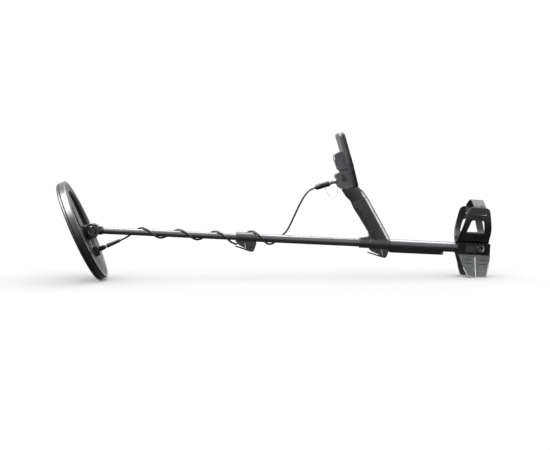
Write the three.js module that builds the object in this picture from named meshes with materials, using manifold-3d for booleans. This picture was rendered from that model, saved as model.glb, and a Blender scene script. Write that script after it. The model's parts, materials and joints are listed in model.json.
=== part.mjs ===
// A metal detector resting on its search coil's rim and its armrest stand, in millimetres, +Z up.
// The shaft runs along X, from the coil at -X to the armrest at +X. Most pieces are drawn in the shaft's
// frame: its origin is the coil's hinge, +X runs up the shaft's axis towards the armrest, +Z is above it.

import * as THREE from "three";
import { mergeVertices } from "three/addons/utils/BufferGeometryUtils.js";
import Module from "manifold-3d";

const wasm = await Module();
wasm.setup();

// ---------- driving dimensions ----------

const GAP = 0.3; // between pieces that touch
const RUNNING = 0.15; // between a bush and the bore it slides in
const degrees = THREE.MathUtils.degToRad;

const SHAFT_DROP = degrees(3.03); // the shaft falls this much towards the armrest
const HINGE_HEIGHT = 133.67; // of the coil's hinge above the ground
const ROD = { r: 9, bore: 7.5, from: 31, to: 560 };
const MIDDLE = { r: 11, bore: 9.4, from: 392, to: 860 };
const UPPER = { r: 14, bore: 12, from: 776, to: 1086 };

const COIL = {
  tilt: degrees(63.8), // of the coil's axis away from the shaft's +Z
  centre: -10.5, // along the coil's own X, from the hinge
  r: 140,
  inner: 106,
  bottom: -39.2,
  split: -31, // where the skid plate's lip meets the housing
  top: -15.3,
  web: -22, // top of the spine and spokes
  spine: 32, // half the spine's width
  spoke: 9, // half a spoke's width
};
const HINGE = { x: 3.3, bolt: 4, ear: 18.5, tongue: 8.2, earIn: 10.5, earOut: 15.5, knob: 21 };
const GLAND = { x: 54.5, y: 20, r: 7.5, top: 11, reliefTop: 53 };

const FRONT_LOCK = { pivot: 431, tip: 388.5, from: 388, to: 444 };
const REAR_LOCK = { pivot: 797, tip: 753, from: 728, to: 812 };
const LOCK_DROP = -26; // of the lever pins below the shaft's axis
const CHEEK = 10.5; // half the width of a lock's housing
const BARREL = { half: 6.2, r: 10.8 }; // of a lever, round its pin

const DISPLAY = {
  x: 713, // where the user's face of the box meets the handle, in the shaft's frame
  z: 160,
  lean: degrees(-19.6),
  depth: 16,
  split: -6.5, // between the front and rear cases
};
const SOCKET = { z: 24.3, face: -53.5, tail: -117 };
const KEY_TOP = 1.2; // how far a key stands out of the case

const CABLE = { r: 2.6, pitch: 99, firstTop: 136 }; // one turn of the cable tops the shaft at firstTop
const ARMREST = { from: 997, to: 1092, bolt: 1062, travel: 30 };

// ---------- materials ----------

const finish = (color, roughness, metalness = 0) =>
  new THREE.MeshStandardMaterial({ color, roughness, metalness });
const shellPlastic = finish(0x2f3032, 0.5);
const blackPlastic = finish(0x1d1e20, 0.42);
const softRubber = finish(0x19191b, 0.8);
const tubeAlloy = finish(0x3a3b3e, 0.38, 0.7);
const plated = finish(0xc9ccd0, 0.2, 1);
const copper = finish(0xb06a3a, 0.35, 1);
const boardGreen = finish(0x1f5a3a, 0.6);
const clearWindow = finish(0x0d1114, 0.08);
const webbing = finish(0x4a4b4d, 0.9);
const cellWrap = finish(0x3b5d8a, 0.5);

// ---------- solids ----------

/** A closed geometry as a manifold-3d solid. */
function solidOf(geometry) {
  const flat = geometry.index ? geometry.toNonIndexed() : geometry;
  const bare = new THREE.BufferGeometry();
  bare.setAttribute("position", flat.getAttribute("position"));
  const merged = mergeVertices(bare, 1e-3);
  return new wasm.Manifold(
    new wasm.Mesh({
      numProp: 3,
      vertProperties: merged.attributes.position.array,
      triVerts: new Uint32Array(merged.index.array),
    }),
  );
}

/** A manifold-3d solid back as a geometry. */
function geometryOf(made) {
  const mesh = made.getMesh();
  const geometry = new THREE.BufferGeometry();
  geometry.setAttribute("position", new THREE.BufferAttribute(mesh.vertProperties, 3));
  geometry.setIndex(new THREE.BufferAttribute(mesh.triVerts, 1));
  return geometry;
}

const fold = (operation, first, others) =>
  geometryOf(others.reduce((made, other) => made[operation](solidOf(other)), solidOf(first)));
const join = (first, ...others) => fold("add", first, others);
const cut = (first, ...others) => fold("subtract", first, others);
const common = (first, ...others) => fold("intersect", first, others);

/** A box between two limits on each axis. */
function block(x0, x1, y0, y1, z0, z1) {
  return new THREE.BoxGeometry(x1 - x0, y1 - y0, z1 - z0).translate(
    (x0 + x1) / 2,
    (y0 + y1) / 2,
    (z0 + z1) / 2,
  );
}

const X = new THREE.Vector3(1, 0, 0);
const Y = new THREE.Vector3(0, 1, 0);
const Z = new THREE.Vector3(0, 0, 1);
// Each turns an outline drawn on XY and its depth along Z onto the part's own axes.
const ONTO = {
  x: new THREE.Matrix4().makeBasis(Y, Z, X), // outline (y, z), depth along X
  y: new THREE.Matrix4().makeBasis(Z, X, Y), // outline (z, x), depth along Y
  z: new THREE.Matrix4(), // outline (x, y), depth along Z
};

/** An outline with rounded corners: points of [a, b] or [a, b, radius]. */
function outline(points) {
  const shape = new THREE.Shape();
  const corners = points.map(([a, b, radius = 0]) => ({ at: new THREE.Vector2(a, b), radius }));
  corners.forEach(({ at, radius }, i) => {
    const before = corners.at(i - 1).at;
    const after = corners[(i + 1) % corners.length].at;
    const start = at.clone().lerp(before, Math.min(0.48, radius / at.distanceTo(before)));
    const end = at.clone().lerp(after, Math.min(0.48, radius / at.distanceTo(after)));
    if (i === 0) shape.moveTo(start.x, start.y);
    else shape.lineTo(start.x, start.y);
    if (radius > 0) shape.quadraticCurveTo(at.x, at.y, end.x, end.y);
  });
  return shape;
}

/** An outline in (x, z) pushed along Y, in (y, z) along X or in (x, y) along Z, between two limits. */
function prism(axis, points, from, to, curveSegments = 2) {
  const drawn = axis === "y" ? points.map(([x, z, radius]) => [z, x, radius]) : points;
  const shape = outline(drawn);
  return new THREE.ExtrudeGeometry(shape, { depth: to - from, bevelEnabled: false, curveSegments })
    .translate(0, 0, from)
    .applyMatrix4(ONTO[axis]);
}

/** An outline in (y, z) pushed along X between two limits, with its end edges rounded off. */
function cushion(points, from, to, bevel) {
  return new THREE.ExtrudeGeometry(outline(points), {
    depth: to - from - 2 * bevel,
    bevelThickness: bevel,
    bevelSize: bevel,
    bevelOffset: -bevel,
    bevelSegments: 3,
    curveSegments: 5,
  })
    .translate(0, 0, from + bevel)
    .applyMatrix4(ONTO.x);
}

/** A cylinder or cone along an axis, its centre at a and b on the other two axes, in X, Y, Z order. */
function cylinder(axis, r, from, to, a = 0, b = 0, sides = 24, rEnd = r) {
  const made = new THREE.CylinderGeometry(rEnd, r, to - from, sides)
    .rotateX(Math.PI / 2)
    .translate(0, 0, (from + to) / 2)
    .applyMatrix4(ONTO[axis]);
  const shift = { x: [0, a, b], y: [a, 0, b], z: [a, b, 0] }[axis];
  return made.translate(...shift);
}

/** A tube or ring along an axis. */
function ring(axis, r, bore, from, to, a = 0, b = 0, sides = 24) {
  return cut(
    cylinder(axis, r, from, to, a, b, sides),
    cylinder(axis, bore, from - 1, to + 1, a, b, sides),
  );
}

/** A closed skin over rings of points, all with the same number of points. */
function loft(rings) {
  const n = rings[0].length;
  const corners = rings.flat().flatMap((p) => [p.x, p.y, p.z]);
  const faces = [];
  const at = (i, j) => i * n + (j % n);
  for (let i = 0; i + 1 < rings.length; i++)
    for (let j = 0; j < n; j++) {
      faces.push(at(i, j), at(i, j + 1), at(i + 1, j));
      faces.push(at(i, j + 1), at(i + 1, j + 1), at(i + 1, j));
    }
  for (let j = 1; j + 1 < n; j++) {
    faces.push(0, at(0, j + 1), at(0, j));
    faces.push(at(rings.length - 1, 0), at(rings.length - 1, j), at(rings.length - 1, j + 1));
  }
  const geometry = new THREE.BufferGeometry();
  geometry.setAttribute("position", new THREE.Float32BufferAttribute(corners, 3));
  return geometry.setIndex(faces);
}

/** A round cord along a smooth line through points. */
function cord(points, r, steps, sides = 8) {
  const circle = outline(
    Array.from({ length: sides }, (_, i) => {
      const angle = (2 * Math.PI * i) / sides;
      return [r * Math.cos(angle), r * Math.sin(angle)];
    }),
  );
  const line = new THREE.CatmullRomCurve3(points.map((p) => new THREE.Vector3(...p)));
  return new THREE.ExtrudeGeometry(circle, { steps, extrudePath: line });
}

/** Adds a named mesh to a group. */
function add(group, name, geometry, material) {
  const mesh = new THREE.Mesh(geometry, material);
  mesh.name = name;
  group.add(mesh);
}

// ---------- frames ----------

const detector = new THREE.Group();
const shaft = new THREE.Group();
shaft.name = "shaft_frame";
shaft.rotation.y = SHAFT_DROP;
shaft.position.z = HINGE_HEIGHT;
detector.add(shaft);

const coil = new THREE.Group();
coil.rotation.y = COIL.tilt;
coil.position.x = HINGE.x;
shaft.add(coil);

const display = new THREE.Group();
display.rotation.y = DISPLAY.lean;
display.position.set(DISPLAY.x, 0, DISPLAY.z);
shaft.add(display);
display.updateMatrix();

// ---------- search coil ----------

/** The coil's body of revolution about its own centre. */
function coilLathe(profile) {
  const points = [...profile, profile[0]].map(([r, z]) => new THREE.Vector2(r, z));
  return new THREE.LatheGeometry(points, 48).rotateX(Math.PI / 2).translate(COIL.centre, 0, 0);
}

/** The spine and the two spokes, as flat bars between two heights. */
function coilWeb(spine, spoke, reach, from, to) {
  const c = COIL.centre;
  return join(
    block(c - reach, c + reach, -spine, spine, from, to),
    block(c - spoke, c + spoke, -reach, reach, from, to),
  );
}

function coilHousing() {
  const { r, inner, split, top, web, spine, spoke } = COIL;
  const skirt = COIL.bottom + 2.3;
  const rim = coilLathe([
    [inner + 3, skirt],
    [r - 3, skirt],
    [r - 3, split],
    [r, split],
    [r, top - 6],
    [r - 6, top],
    [inner + 6, top],
    [inner, top - 5],
    [inner, split],
    [inner + 3, split],
  ]);
  const channel = coilLathe([
    [inner + 5.5, skirt - 1],
    [r - 5.5, skirt - 1],
    [r - 5.5, top - 4],
    [inner + 5.5, top - 4],
  ]);
  const hub = prism("z", [[-28, -15.5, 6], [38, -15.5, 6], [38, 15.5, 6], [-28, 15.5, 6]], web - 1, web + 2);
  const ears = [-1, 1].map((side) => {
    const near = side * HINGE.earIn;
    const far = side * HINGE.earOut;
    const [from, to] = [Math.min(near, far), Math.max(near, far)];
    const foot = prism("y", [[-23, web], [23, web], [17, -10], [-17, -10]], from, to);
    return join(cylinder("y", HINGE.ear, from, to, 0, 0, 28), foot);
  });
  const end = inner + 8;
  const spineRoom = block(COIL.centre - end, COIL.centre + end, 3 - spine, spine - 3, skirt - 1, web - 2.5);
  const body = join(rim, coilWeb(spine, spoke, inner + 2, skirt, web), hub, ...ears);
  return cut(body, channel, spineRoom, cylinder("y", HINGE.bolt + 0.2, -40, 40, 0, 0, 20));
}

function skidPlate() {
  const { r, inner, bottom, split, spine, spoke } = COIL;
  const floor = bottom + 2;
  const rim = coilLathe([
    [inner + 1, bottom],
    [r - 2, bottom],
    [r, bottom + 2.5],
    [r, split - GAP],
    [r - 3 + GAP, split - GAP],
    [r - 3 + GAP, floor],
    [inner + 1, floor],
  ]);
  return join(rim, coilWeb(spine - 1, spoke - 1, inner + 4, bottom, floor));
}

/** One D-shaped winding: an arc in the rim and a straight run down the spine. */
function winding(side, from) {
  const shape = (r, y) => {
    const angle = Math.asin(y / r);
    const made = new THREE.Shape();
    made.absarc(0, 0, r, -angle, Math.PI + angle, false);
    return made;
  };
  const outer = shape(129.5, 12.5);
  outer.holes.push(shape(126, 9));
  const made = new THREE.ExtrudeGeometry(outer, { depth: 3.5, bevelEnabled: false, curveSegments: 24 });
  if (side < 0) made.rotateZ(Math.PI);
  return made.translate(COIL.centre, 0, from);
}

function coilAssembly() {
  const { x, y, r, top, reliefTop } = GLAND;
  add(coil, "coil_housing", coilHousing(), shellPlastic);
  add(coil, "skid_plate", skidPlate(), blackPlastic);
  add(coil, "transmit_winding", winding(1, -36.4), copper);
  add(coil, "receive_winding", winding(-1, -30.4), copper);
  const seat = prism("z", [[42.6, 10, 3], [70, 10, 3], [70, 29, 3], [42.6, 29, 3]], COIL.web + GAP, -9);
  const hexagon = cylinder("z", r, -11, top - 4, x, y, 6);
  const neck = cylinder("z", r - 2.4, top - 5, top, x, y, 16);
  add(coil, "cable_gland", join(seat, hexagon, neck), blackPlastic);
  const relief = cylinder("z", 4.9, top + GAP, reliefTop, x, y, 14, 3.7);
  add(coil, "strain_relief", relief, softRubber);
  for (const [name, side] of [["left", -1], ["right", 1]]) {
    const from = side < 0 ? -HINGE.earIn + GAP : HINGE.tongue + GAP;
    const to = side < 0 ? -HINGE.tongue - GAP : HINGE.earIn - GAP;
    add(coil, `hinge_washer_${name}`, ring("y", 12, HINGE.bolt + GAP, from, to), softRubber);
  }
  const head = cylinder("y", 8, HINGE.earOut + GAP, HINGE.earOut + 6, 0, 0, 6);
  const shank = cylinder("y", HINGE.bolt, -27, HINGE.earOut + 2, 0, 0, 20);
  add(coil, "hinge_bolt", join(shank, head), blackPlastic);
  const knob = handKnob(-30, -HINGE.earOut - GAP, HINGE.knob, HINGE.bolt + GAP, [6, 2.2]);
  add(coil, "hinge_knob", knob, blackPlastic);
}

/** A hand knob along Y over a bolt's end, with so many lobes of a height round its edge. */
function handKnob(from, to, r, bore, [lobes, height]) {
  const corners = Array.from({ length: 54 }, (_, i) => {
    const angle = (2 * Math.PI * i) / 54;
    const reach = r - height * (1 - Math.cos(lobes * angle)) * 0.5;
    return [reach * Math.cos(angle), reach * Math.sin(angle)];
  });
  return cut(prism("y", corners, from, to), cylinder("y", bore, from + 2.6, to + 1, 0, 0, 20));
}

// ---------- telescoping shaft ----------

function shaftTubes() {
  const tongue = join(
    cylinder("y", 16, -HINGE.tongue, HINGE.tongue, HINGE.x, 0, 28),
    block(HINGE.x, 27, -HINGE.tongue, HINGE.tongue, -11, 11),
    cylinder("x", 11, 23, 27, 0, 0, 24),
    cylinder("x", 11, 27, ROD.from - GAP, 0, 0, 24, ROD.r),
    cylinder("x", ROD.bore - GAP, ROD.from - 1, 66),
  );
  const eye = cylinder("y", HINGE.bolt + 0.2, -12, 12, HINGE.x, 0, 20);
  add(shaft, "rod_yoke", cut(tongue, eye), blackPlastic);
  add(shaft, "lower_rod", ring("x", ROD.r, ROD.bore, ROD.from, ROD.to), tubeAlloy);
  const rodBush = join(
    cylinder("x", MIDDLE.bore - RUNNING, ROD.to + GAP, ROD.to + 8),
    cylinder("x", ROD.bore - GAP, ROD.to - 14, ROD.to + 1),
  );
  add(shaft, "rod_guide_bush", rodBush, blackPlastic);
  add(shaft, "middle_tube", ring("x", MIDDLE.r, MIDDLE.bore, MIDDLE.from, MIDDLE.to), tubeAlloy);
  const bush = join(
    ring("x", UPPER.bore - RUNNING, MIDDLE.bore - 1.4, MIDDLE.to + GAP, MIDDLE.to + 8),
    ring("x", MIDDLE.bore - GAP, MIDDLE.bore - 1.4, MIDDLE.to - 14, MIDDLE.to + 1),
  );
  add(shaft, "middle_guide_bush", bush, blackPlastic);
  const slotHalf = 3.4;
  const slotFront = ARMREST.bolt - ARMREST.travel;
  const slot = join(
    cylinder("y", slotHalf, -20, 20, ARMREST.bolt, 0, 14),
    cylinder("y", slotHalf, -20, 20, slotFront, 0, 14),
    block(slotFront, ARMREST.bolt, -20, 20, -slotHalf, slotHalf),
  );
  const upper = ring("x", UPPER.r, UPPER.bore, UPPER.from, UPPER.to, 0, 0, 32);
  add(shaft, "upper_tube", cut(upper, slot), tubeAlloy);
  const cap = join(
    cylinder("x", UPPER.r, UPPER.to + GAP, UPPER.to + 4),
    cylinder("x", UPPER.bore - GAP, UPPER.to - 10, UPPER.to + 1),
  );
  add(shaft, "shaft_end_cap", cap, softRubber);
}

/** A lock's wedge and the cheeks that hold the lever's pin. */
function lockHousing({ pivot, tip }) {
  const side = [
    [tip + 2, -6], [tip + 3, -14], [tip + 9, -22, 3], [pivot - 9.5, -31.8], [pivot - 7, -38, 3],
    [pivot + 6.5, -38, 4], [pivot + 13, -18], [pivot + 13.5, -6],
  ];
  return prism("y", side, -CHEEK, CHEEK);
}

/** The room that a lever's barrel, arm and pin need inside its lock's housing. */
function lockRoom({ pivot, tip }) {
  const half = BARREL.half + 0.4;
  const reach = BARREL.r + 0.6;
  const under = [
    [tip - 5, -23.6], [tip + 11, -25.8], [pivot - 8, -32.2], [pivot - 8, -50], [tip - 5, -50],
  ];
  return join(
    cylinder("y", reach, -half, half, pivot, LOCK_DROP, 28),
    block(pivot - reach, pivot + reach, -half, half, -50, LOCK_DROP),
    cylinder("y", 2.3, -CHEEK - 1, CHEEK + 1, pivot, LOCK_DROP, 14),
    prism("y", under, -half, half),
  );
}

function lockLever({ pivot, tip }) {
  const arm = [
    [tip, -24.4], [tip + 11, -26.6], [pivot - 8, -33], [pivot - 3, -36],
    [pivot - 9, -36.6, 2], [tip + 11, -29.8], [tip, -27.2],
  ];
  const barrel = cylinder("y", BARREL.r, -BARREL.half, BARREL.half, pivot, LOCK_DROP, 28);
  const pinHole = cylinder("y", 2.3, -20, 20, pivot, LOCK_DROP, 14);
  return cut(join(barrel, prism("y", arm, -BARREL.half, BARREL.half)), pinHole);
}

const lockPin = ({ pivot }) => cylinder("y", 2, -CHEEK, CHEEK, pivot, LOCK_DROP, 14);

function frontLock() {
  const { from, to } = FRONT_LOCK;
  const sleeve = join(cylinder("x", UPPER.r, from, to, 0, 0, 32), lockHousing(FRONT_LOCK));
  const middleBore = cylinder("x", MIDDLE.r + GAP, MIDDLE.from - GAP, to + 9);
  const rodBore = cylinder("x", ROD.r + GAP, from - 9, to);
  add(shaft, "front_lock_collar", cut(sleeve, lockRoom(FRONT_LOCK), middleBore, rodBore), blackPlastic);
  add(shaft, "front_lock_lever", lockLever(FRONT_LOCK), blackPlastic);
  add(shaft, "front_lock_pin", lockPin(FRONT_LOCK), plated);
}

// ---------- handle ----------

// Sections of the handle from the shaft to the display: front point, rear point, half width.
const GRIP_SECTIONS = [
  { front: [762, 0], rear: [818, 0], half: 14 },
  { front: [757, 16], rear: [810, 14], half: 15 },
  { front: [752, 28], rear: [797, 36], half: 15.5 },
  { front: [738, 49], rear: [777, 69], half: 16.5 },
  { front: [720, 75], rear: [760, 96], half: 17.5 },
  { front: [705.5, 95], rear: [749, 114], half: 17.5 },
  { front: [697, 112.5], rear: [740, 128], half: 17.5 },
  { front: [684, 124], rear: [729, 143], half: 18.5 },
  { front: [672, 140], rear: [717, 153], half: 20 },
  { front: [664, 160], rear: [709, 173], half: 20.5 },
];

/** Superellipse rings through the handle's sections, drawn in by inset. */
function gripRings(inset) {
  return GRIP_SECTIONS.map(({ front, rear, half }) => {
    const [a, b] = [front, rear].map(([x, z]) => new THREE.Vector3(x, 0, z));
    const middle = a.clone().add(b).multiplyScalar(0.5);
    const along = b.clone().sub(middle);
    along.setLength(along.length() - inset);
    return Array.from({ length: 20 }, (_, j) => {
      const angle = (2 * Math.PI * j) / 20;
      const squared = (v) => Math.sign(v) * Math.abs(v) ** 0.8;
      const point = middle.clone().addScaledVector(along, squared(Math.cos(angle)));
      return point.addScaledVector(Y, (half - inset) * squared(Math.sin(angle)));
    });
  });
}

function handleAssembly() {
  const outer = loft(gripRings(0));
  const rubberZone = prism("y", [[735, 24], [812, 62], [771, 142], [680, 98]], -40, 40);
  const grip = cut(common(outer, rubberZone), loft(gripRings(3.2)));
  add(shaft, "grip_sleeve", grip, softRubber);

  const boxBottom = [[-70, 1], [-46, -1.2], [-25, -5.3], [8, -5.3], [8, 45], [-70, 45]];
  const underDisplay = prism("y", boxBottom, -60, 60).applyMatrix4(display.matrix);
  const stalk = join(cut(outer, rubberZone, underDisplay), cut(loft(gripRings(3.5)), underDisplay));
  const nose = join(
    cylinder("x", UPPER.r, REAR_LOCK.from, 775, 0, 0, 32),
    prism("y", [[730, 8], [730, 13.8], [751, 17.6], [757, 24], [775, 24], [775, 8]], -9, 9),
  );
  const sleeve = cylinder("x", UPPER.r + 2.6, 757, REAR_LOCK.to, 0, 0, 32);
  const loomRoom = cord([[800, 0, 8], [775, 0, 45], [738, 0, 100], [700, 0, 148], [690, 0, 175]], 5, 12, 10);
  const whole = cut(
    join(stalk, nose, sleeve, lockHousing(REAR_LOCK)),
    cylinder("x", MIDDLE.r + GAP, REAR_LOCK.from - 5, UPPER.from, 0, 0, 24),
    cylinder("x", UPPER.r + GAP, UPPER.from - GAP, 840, 0, 0, 32),
    lockRoom(REAR_LOCK),
    loomRoom,
  );
  const half = (from, to) => common(whole, block(600, 900, from, to, -60, 220));
  add(shaft, "handle_left", half(-50, -GAP / 2), shellPlastic);
  add(shaft, "handle_right", half(GAP / 2, 50), shellPlastic);
  const loom = cord([[788, 0, 26], [775, 0, 45], [738, 0, 100], [706, 0, 140]], 3, 12, 8);
  add(shaft, "handle_loom", loom, softRubber);
  add(shaft, "rear_lock_lever", lockLever(REAR_LOCK), blackPlastic);
  add(shaft, "rear_lock_pin", lockPin(REAR_LOCK), plated);
}

function batteryPack() {
  const [from, to] = [813, 961];
  const under = -UPPER.r - GAP;
  const side = [[from, -4], [to, -4], [to, -22.4, 2], [from, -22.4, 2]];
  const saddle = cylinder("x", UPPER.r + GAP, from - 5, to + 5, 0, 0, 32);
  const shell = prism("y", side, -12, 12);
  const room = join(
    block(from + 3, to - 10, -9.5, 9.5, -20.4, under - 0.4),
    block(from + 3, to - 10, -7, 7, -20.4, 0),
  );
  add(shaft, "battery_tray", cut(shell, saddle, room), blackPlastic);
  add(shaft, "battery_cell", block(from + 4, to - 14, -9, 9, -20, -15), cellWrap);
}

// ---------- display box ----------

const BOX_OUTLINE = [
  [-20, -5, 5], [20, -5, 5], [41, 60, 30], [42, 149, 15], [-42, 149, 15], [-41, 60, 30],
];
const BOX_INSIDE = [
  [-17, 0, 4], [17, 0, 4], [37.5, 62, 26], [38.5, 145, 11], [-38.5, 145, 11], [-37.5, 62, 26],
];
const WINDOW = [[-35, 68, 4], [35, 68, 4], [35, 142, 4], [-35, 142, 4]];
const bar = (y, z, w, h) => [[y - w, z - h, 3], [y + w, z - h, 3], [y + w, z + h, 3], [y - w, z + h, 3]];
const KEYS = {
  key_up: bar(0, 52, 7, 4),
  key_down: bar(0, 22, 7, 4),
  key_left: bar(-16, 37, 4, 7),
  key_right: bar(16, 37, 4, 7),
  key_select: bar(0, 37, 6.5, 6.5),
  key_pinpoint: bar(-27, 57, 5.5, 4.5),
  key_menu: bar(27, 57, 5.5, 4.5),
  key_power: bar(0, 8.5, 5.5, 4),
};

/** An outline in (y, z) grown or shrunk about its own centre. */
function grown(points, by) {
  const box = new THREE.Box2().setFromPoints(points.map(([y, z]) => new THREE.Vector2(y, z)));
  const middle = box.getCenter(new THREE.Vector2());
  return points.map(([y, z, r]) => [
    y + by * Math.sign(y - middle.x),
    z + by * Math.sign(z - middle.y),
    r,
  ]);
}

function displayBox() {
  const { split, depth } = DISPLAY;
  const rear = -depth;
  const holes = Object.values(KEYS).map((key) => prism("x", grown(key, 0.35), -9, 5));
  const within = (from, to) => block(from, to, -60, 60, -20, 170);
  const front = cut(
    common(cushion(BOX_OUTLINE, -20, 0, 2.4), within(split + 0.5, 1)),
    prism("x", BOX_INSIDE, split, -2.4, 4),
    prism("x", grown(WINDOW, 0.3), -1.6, 5),
    prism("x", grown(WINDOW, -3), -5, 5),
    ...holes,
  );
  add(display, "display_front_case", front, shellPlastic);
  const sealOutside = prism("x", grown(BOX_OUTLINE, -0.6), split - 0.6, split + 0.3, 5);
  const sealInside = prism("x", BOX_INSIDE, split - 5, split + 5, 4);
  add(display, "case_seal", cut(sealOutside, sealInside), softRubber);
  const podOutline = [[-14, 48], [-14, 100, 5], [-41, 97, 8], [-41, 52, 5]];
  const blockOutline = [
    [-14, -4.6], [-30, -3.6], [-44.5, -0.8, 3], [-53.5, 10, 3], [-52.5, 44, 4], [-14, 47],
  ];
  const pod = prism("y", podOutline, -18, 18);
  const portBlock = prism("y", blockOutline, -17, 17);
  const back = common(cushion(BOX_OUTLINE, rear, 4, 4.5), within(rear, split - 0.9));
  const rooms = [
    prism("x", BOX_INSIDE, rear + 4.6, split, 4),
    prism("y", [[-9, 56], [-9, 94], [-38.5, 93], [-38.5, 56]], -15, 15),
    prism("y", [[-9, 4], [-42, 4.6], [-50, 12], [-49.5, 41], [-9, 43]], -14, 14),
    cylinder("x", 4.6, -60, -45, 0, SOCKET.z, 18),
    cylinder("x", 10.2, -45, -37, 0, 78, 24),
    cylinder("y", 4, -25, -10, -34, 26, 16),
  ];
  add(display, "display_rear_case", cut(join(back, pod, portBlock), ...rooms), shellPlastic);
  add(display, "display_lens", prism("x", WINDOW, -1.3, -0.2, 4), clearWindow);
  add(display, "lcd_panel", prism("x", grown(WINDOW, -1.5), -5.6, -2.7, 3), clearWindow);
  add(display, "circuit_board", prism("x", grown(BOX_INSIDE, -1.5), -10.2, -8.6, 3), boardGreen);
  add(display, "speaker", cylinder("x", 13, -24, -14, 0, 78, 24), blackPlastic);
  add(display, "torch_lens", cylinder("x", 9.9, -42.3, -38.8, 0, 78, 24), clearWindow);
  for (const [name, key] of Object.entries(KEYS)) {
    const flange = prism("x", grown(key, 1), -7.4, -4);
    add(display, name, join(prism("x", key, -5, KEY_TOP, 3), flange), softRubber);
  }
  const socketFlange = cylinder("x", 8, -56, SOCKET.face - GAP, 0, SOCKET.z, 24);
  const socketBody = cylinder("x", 4.2, -60, -46, 0, SOCKET.z, 18);
  add(display, "coil_socket", join(socketFlange, socketBody), plated);
  const cap = join(cylinder("y", 6.5, -19.8, -17.3, -34, 26, 20), block(-37, -31, -19.2, -17.3, 30, 38.5));
  const capPlug = cylinder("y", 3.4, -18, -14.2, -34, 26, 16);
  add(display, "port_cap", join(cap, capPlug), softRubber);
  const nut = ring("x", 6.8, 4.8, -73.5, -56.4, 0, SOCKET.z, 24);
  add(display, "plug_nut", nut, plated);
  const plug = join(
    cylinder("x", 4.2, -76, -60.4, 0, SOCKET.z, 18),
    cylinder("x", 7, -108, -73.9, 0, SOCKET.z, 24),
    cylinder("x", 5.2, SOCKET.tail, -108, 0, SOCKET.z, 24, 7),
  );
  add(display, "plug_body", plug, softRubber);
  const tether = [
    [-56, 0, 8.5], [-57.5, 0, 1], [-61, 0, -9], [-70, 0, -16.5],
    [-80, 0, -13], [-85.5, 0, -2], [-87, 0, 8], [-87.2, 0, 16.6],
  ];
  add(display, "plug_tether", cord(tether, 0.7, 30, 6), clearWindow);
}

// ---------- armrest ----------

// Half of the cuff's cross-section in (y, z), on its outside, from below the arm to the top of a wing.
const CUFF_OUTSIDE = [
  [0, 15], [13, 15], [20, 26], [31, 39], [40, 52], [45, 68], [47, 90], [47, 114],
];
// The same for a stand leg, from the tube's side to the ground.
const LEG_OUTSIDE = [[20.5, 14.5], [20.5, -10], [24, -30], [30.5, -52], [43.5, -80.6]];

/** A band of one thickness inside a polyline, as a closed outline in (y, z). */
function band(points, thickness) {
  const inside = points.map(([y, z], i) => {
    const [y0, z0] = points[Math.max(i - 1, 0)];
    const [y1, z1] = points[Math.min(i + 1, points.length - 1)];
    const length = Math.hypot(y1 - y0, z1 - z0);
    return [y - (thickness * (z1 - z0)) / length, z + (thickness * (y1 - y0)) / length];
  });
  return [...points, ...inside.reverse()];
}

const mirrored = (points) => points.map(([y, z]) => [-y, z]).reverse();

function armrest() {
  const { from, to, bolt } = ARMREST;
  const whole = [...mirrored(CUFF_OUTSIDE).slice(0, -1), ...CUFF_OUTSIDE];
  const wingSide = [
    [from, 12], [from, 30, 8], [1017, 114, 13], [1075, 114, 13], [1085, 54, 20], [1087, 28, 6], [1087, 12],
  ];
  const wingWindow = [[1027, 78, 5], [1061, 78, 5], [1067, 43, 3], [1016, 43, 3]];
  const slots = block(1030, 1067, -70, 70, 91.5, 95.5);
  const cuff = cut(
    common(prism("x", band(whole, 4), from - 5, to + 5), prism("y", wingSide, -70, 70)),
    prism("y", wingWindow, -70, 70),
    slots,
  );
  add(shaft, "armrest_cuff", cuff, shellPlastic);

  const padLine = [[0, 19.4], [10.7, 19], [16.3, 28.7], [26.2, 40.3]];
  const padWhole = [...mirrored(padLine).slice(0, -1), ...padLine];
  add(shaft, "armrest_pad", prism("x", band(padWhole, 3), from + 8, to - 6), softRubber);

  const legSide = [
    [from + 3, 14.6, 2], [from + 3, -13, 5], [1026.5, -81, 9], [1077, -81, 8],
    [1087, -50, 12], [to, -13, 6], [to, 14.6, 2],
  ];
  const flat = prism("y", legSide, -70, 70);
  const hollow = cylinder("x", UPPER.r + GAP, from - 9, to + 9, 0, 0, 32);
  const boltHole = cylinder("y", 3.3, -40, 40, bolt, 0, 14);
  const ground = block(from - 50, to + 50, -90, 90, -200, 0)
    .translate(0, 0, -HINGE_HEIGHT)
    .applyMatrix4(new THREE.Matrix4().makeRotationY(-SHAFT_DROP));
  for (const [name, side] of [["left", -1], ["right", 1]]) {
    const leg = band(LEG_OUTSIDE, -4);
    const cheek = [[GAP, 14.6], [19, 14.6], [19, -11], [12, -19], [GAP, -19]];
    const placed = (points) => prism("x", side < 0 ? mirrored(points) : points, from - 5, to + 5);
    const body = common(join(placed(leg), placed(cheek)), flat);
    add(shaft, `stand_${name}`, cut(body, hollow, boltHole, ground), shellPlastic);
  }
  const head = cylinder("y", 6, 20.5 + GAP, 25, bolt, 0, 6);
  add(shaft, "armrest_bolt", join(cylinder("y", 3, -23.6, 23, bolt, 0, 14), head), plated);
  const knob = handKnob(-26.5, -20.5 - GAP, 11.5, 3.3, [18, 0.7]).translate(bolt, 0, 0);
  add(shaft, "armrest_knob", knob, blackPlastic);

  const strapLine = [
    [49.5, 94.2], [42.4, 95], [42.4, 104], [42.2, 111], [40.6, 115.5],
    [33.5, 120.5], [22, 126], [11, 130.6], [0, 133.2],
  ];
  const strapWhole = [...strapLine, ...mirrored(strapLine).slice(1)];
  add(shaft, "arm_strap", prism("x", band(strapWhole, 1.8), 1031.5, 1065), webbing);
}

// ---------- coil cable ----------

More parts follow.
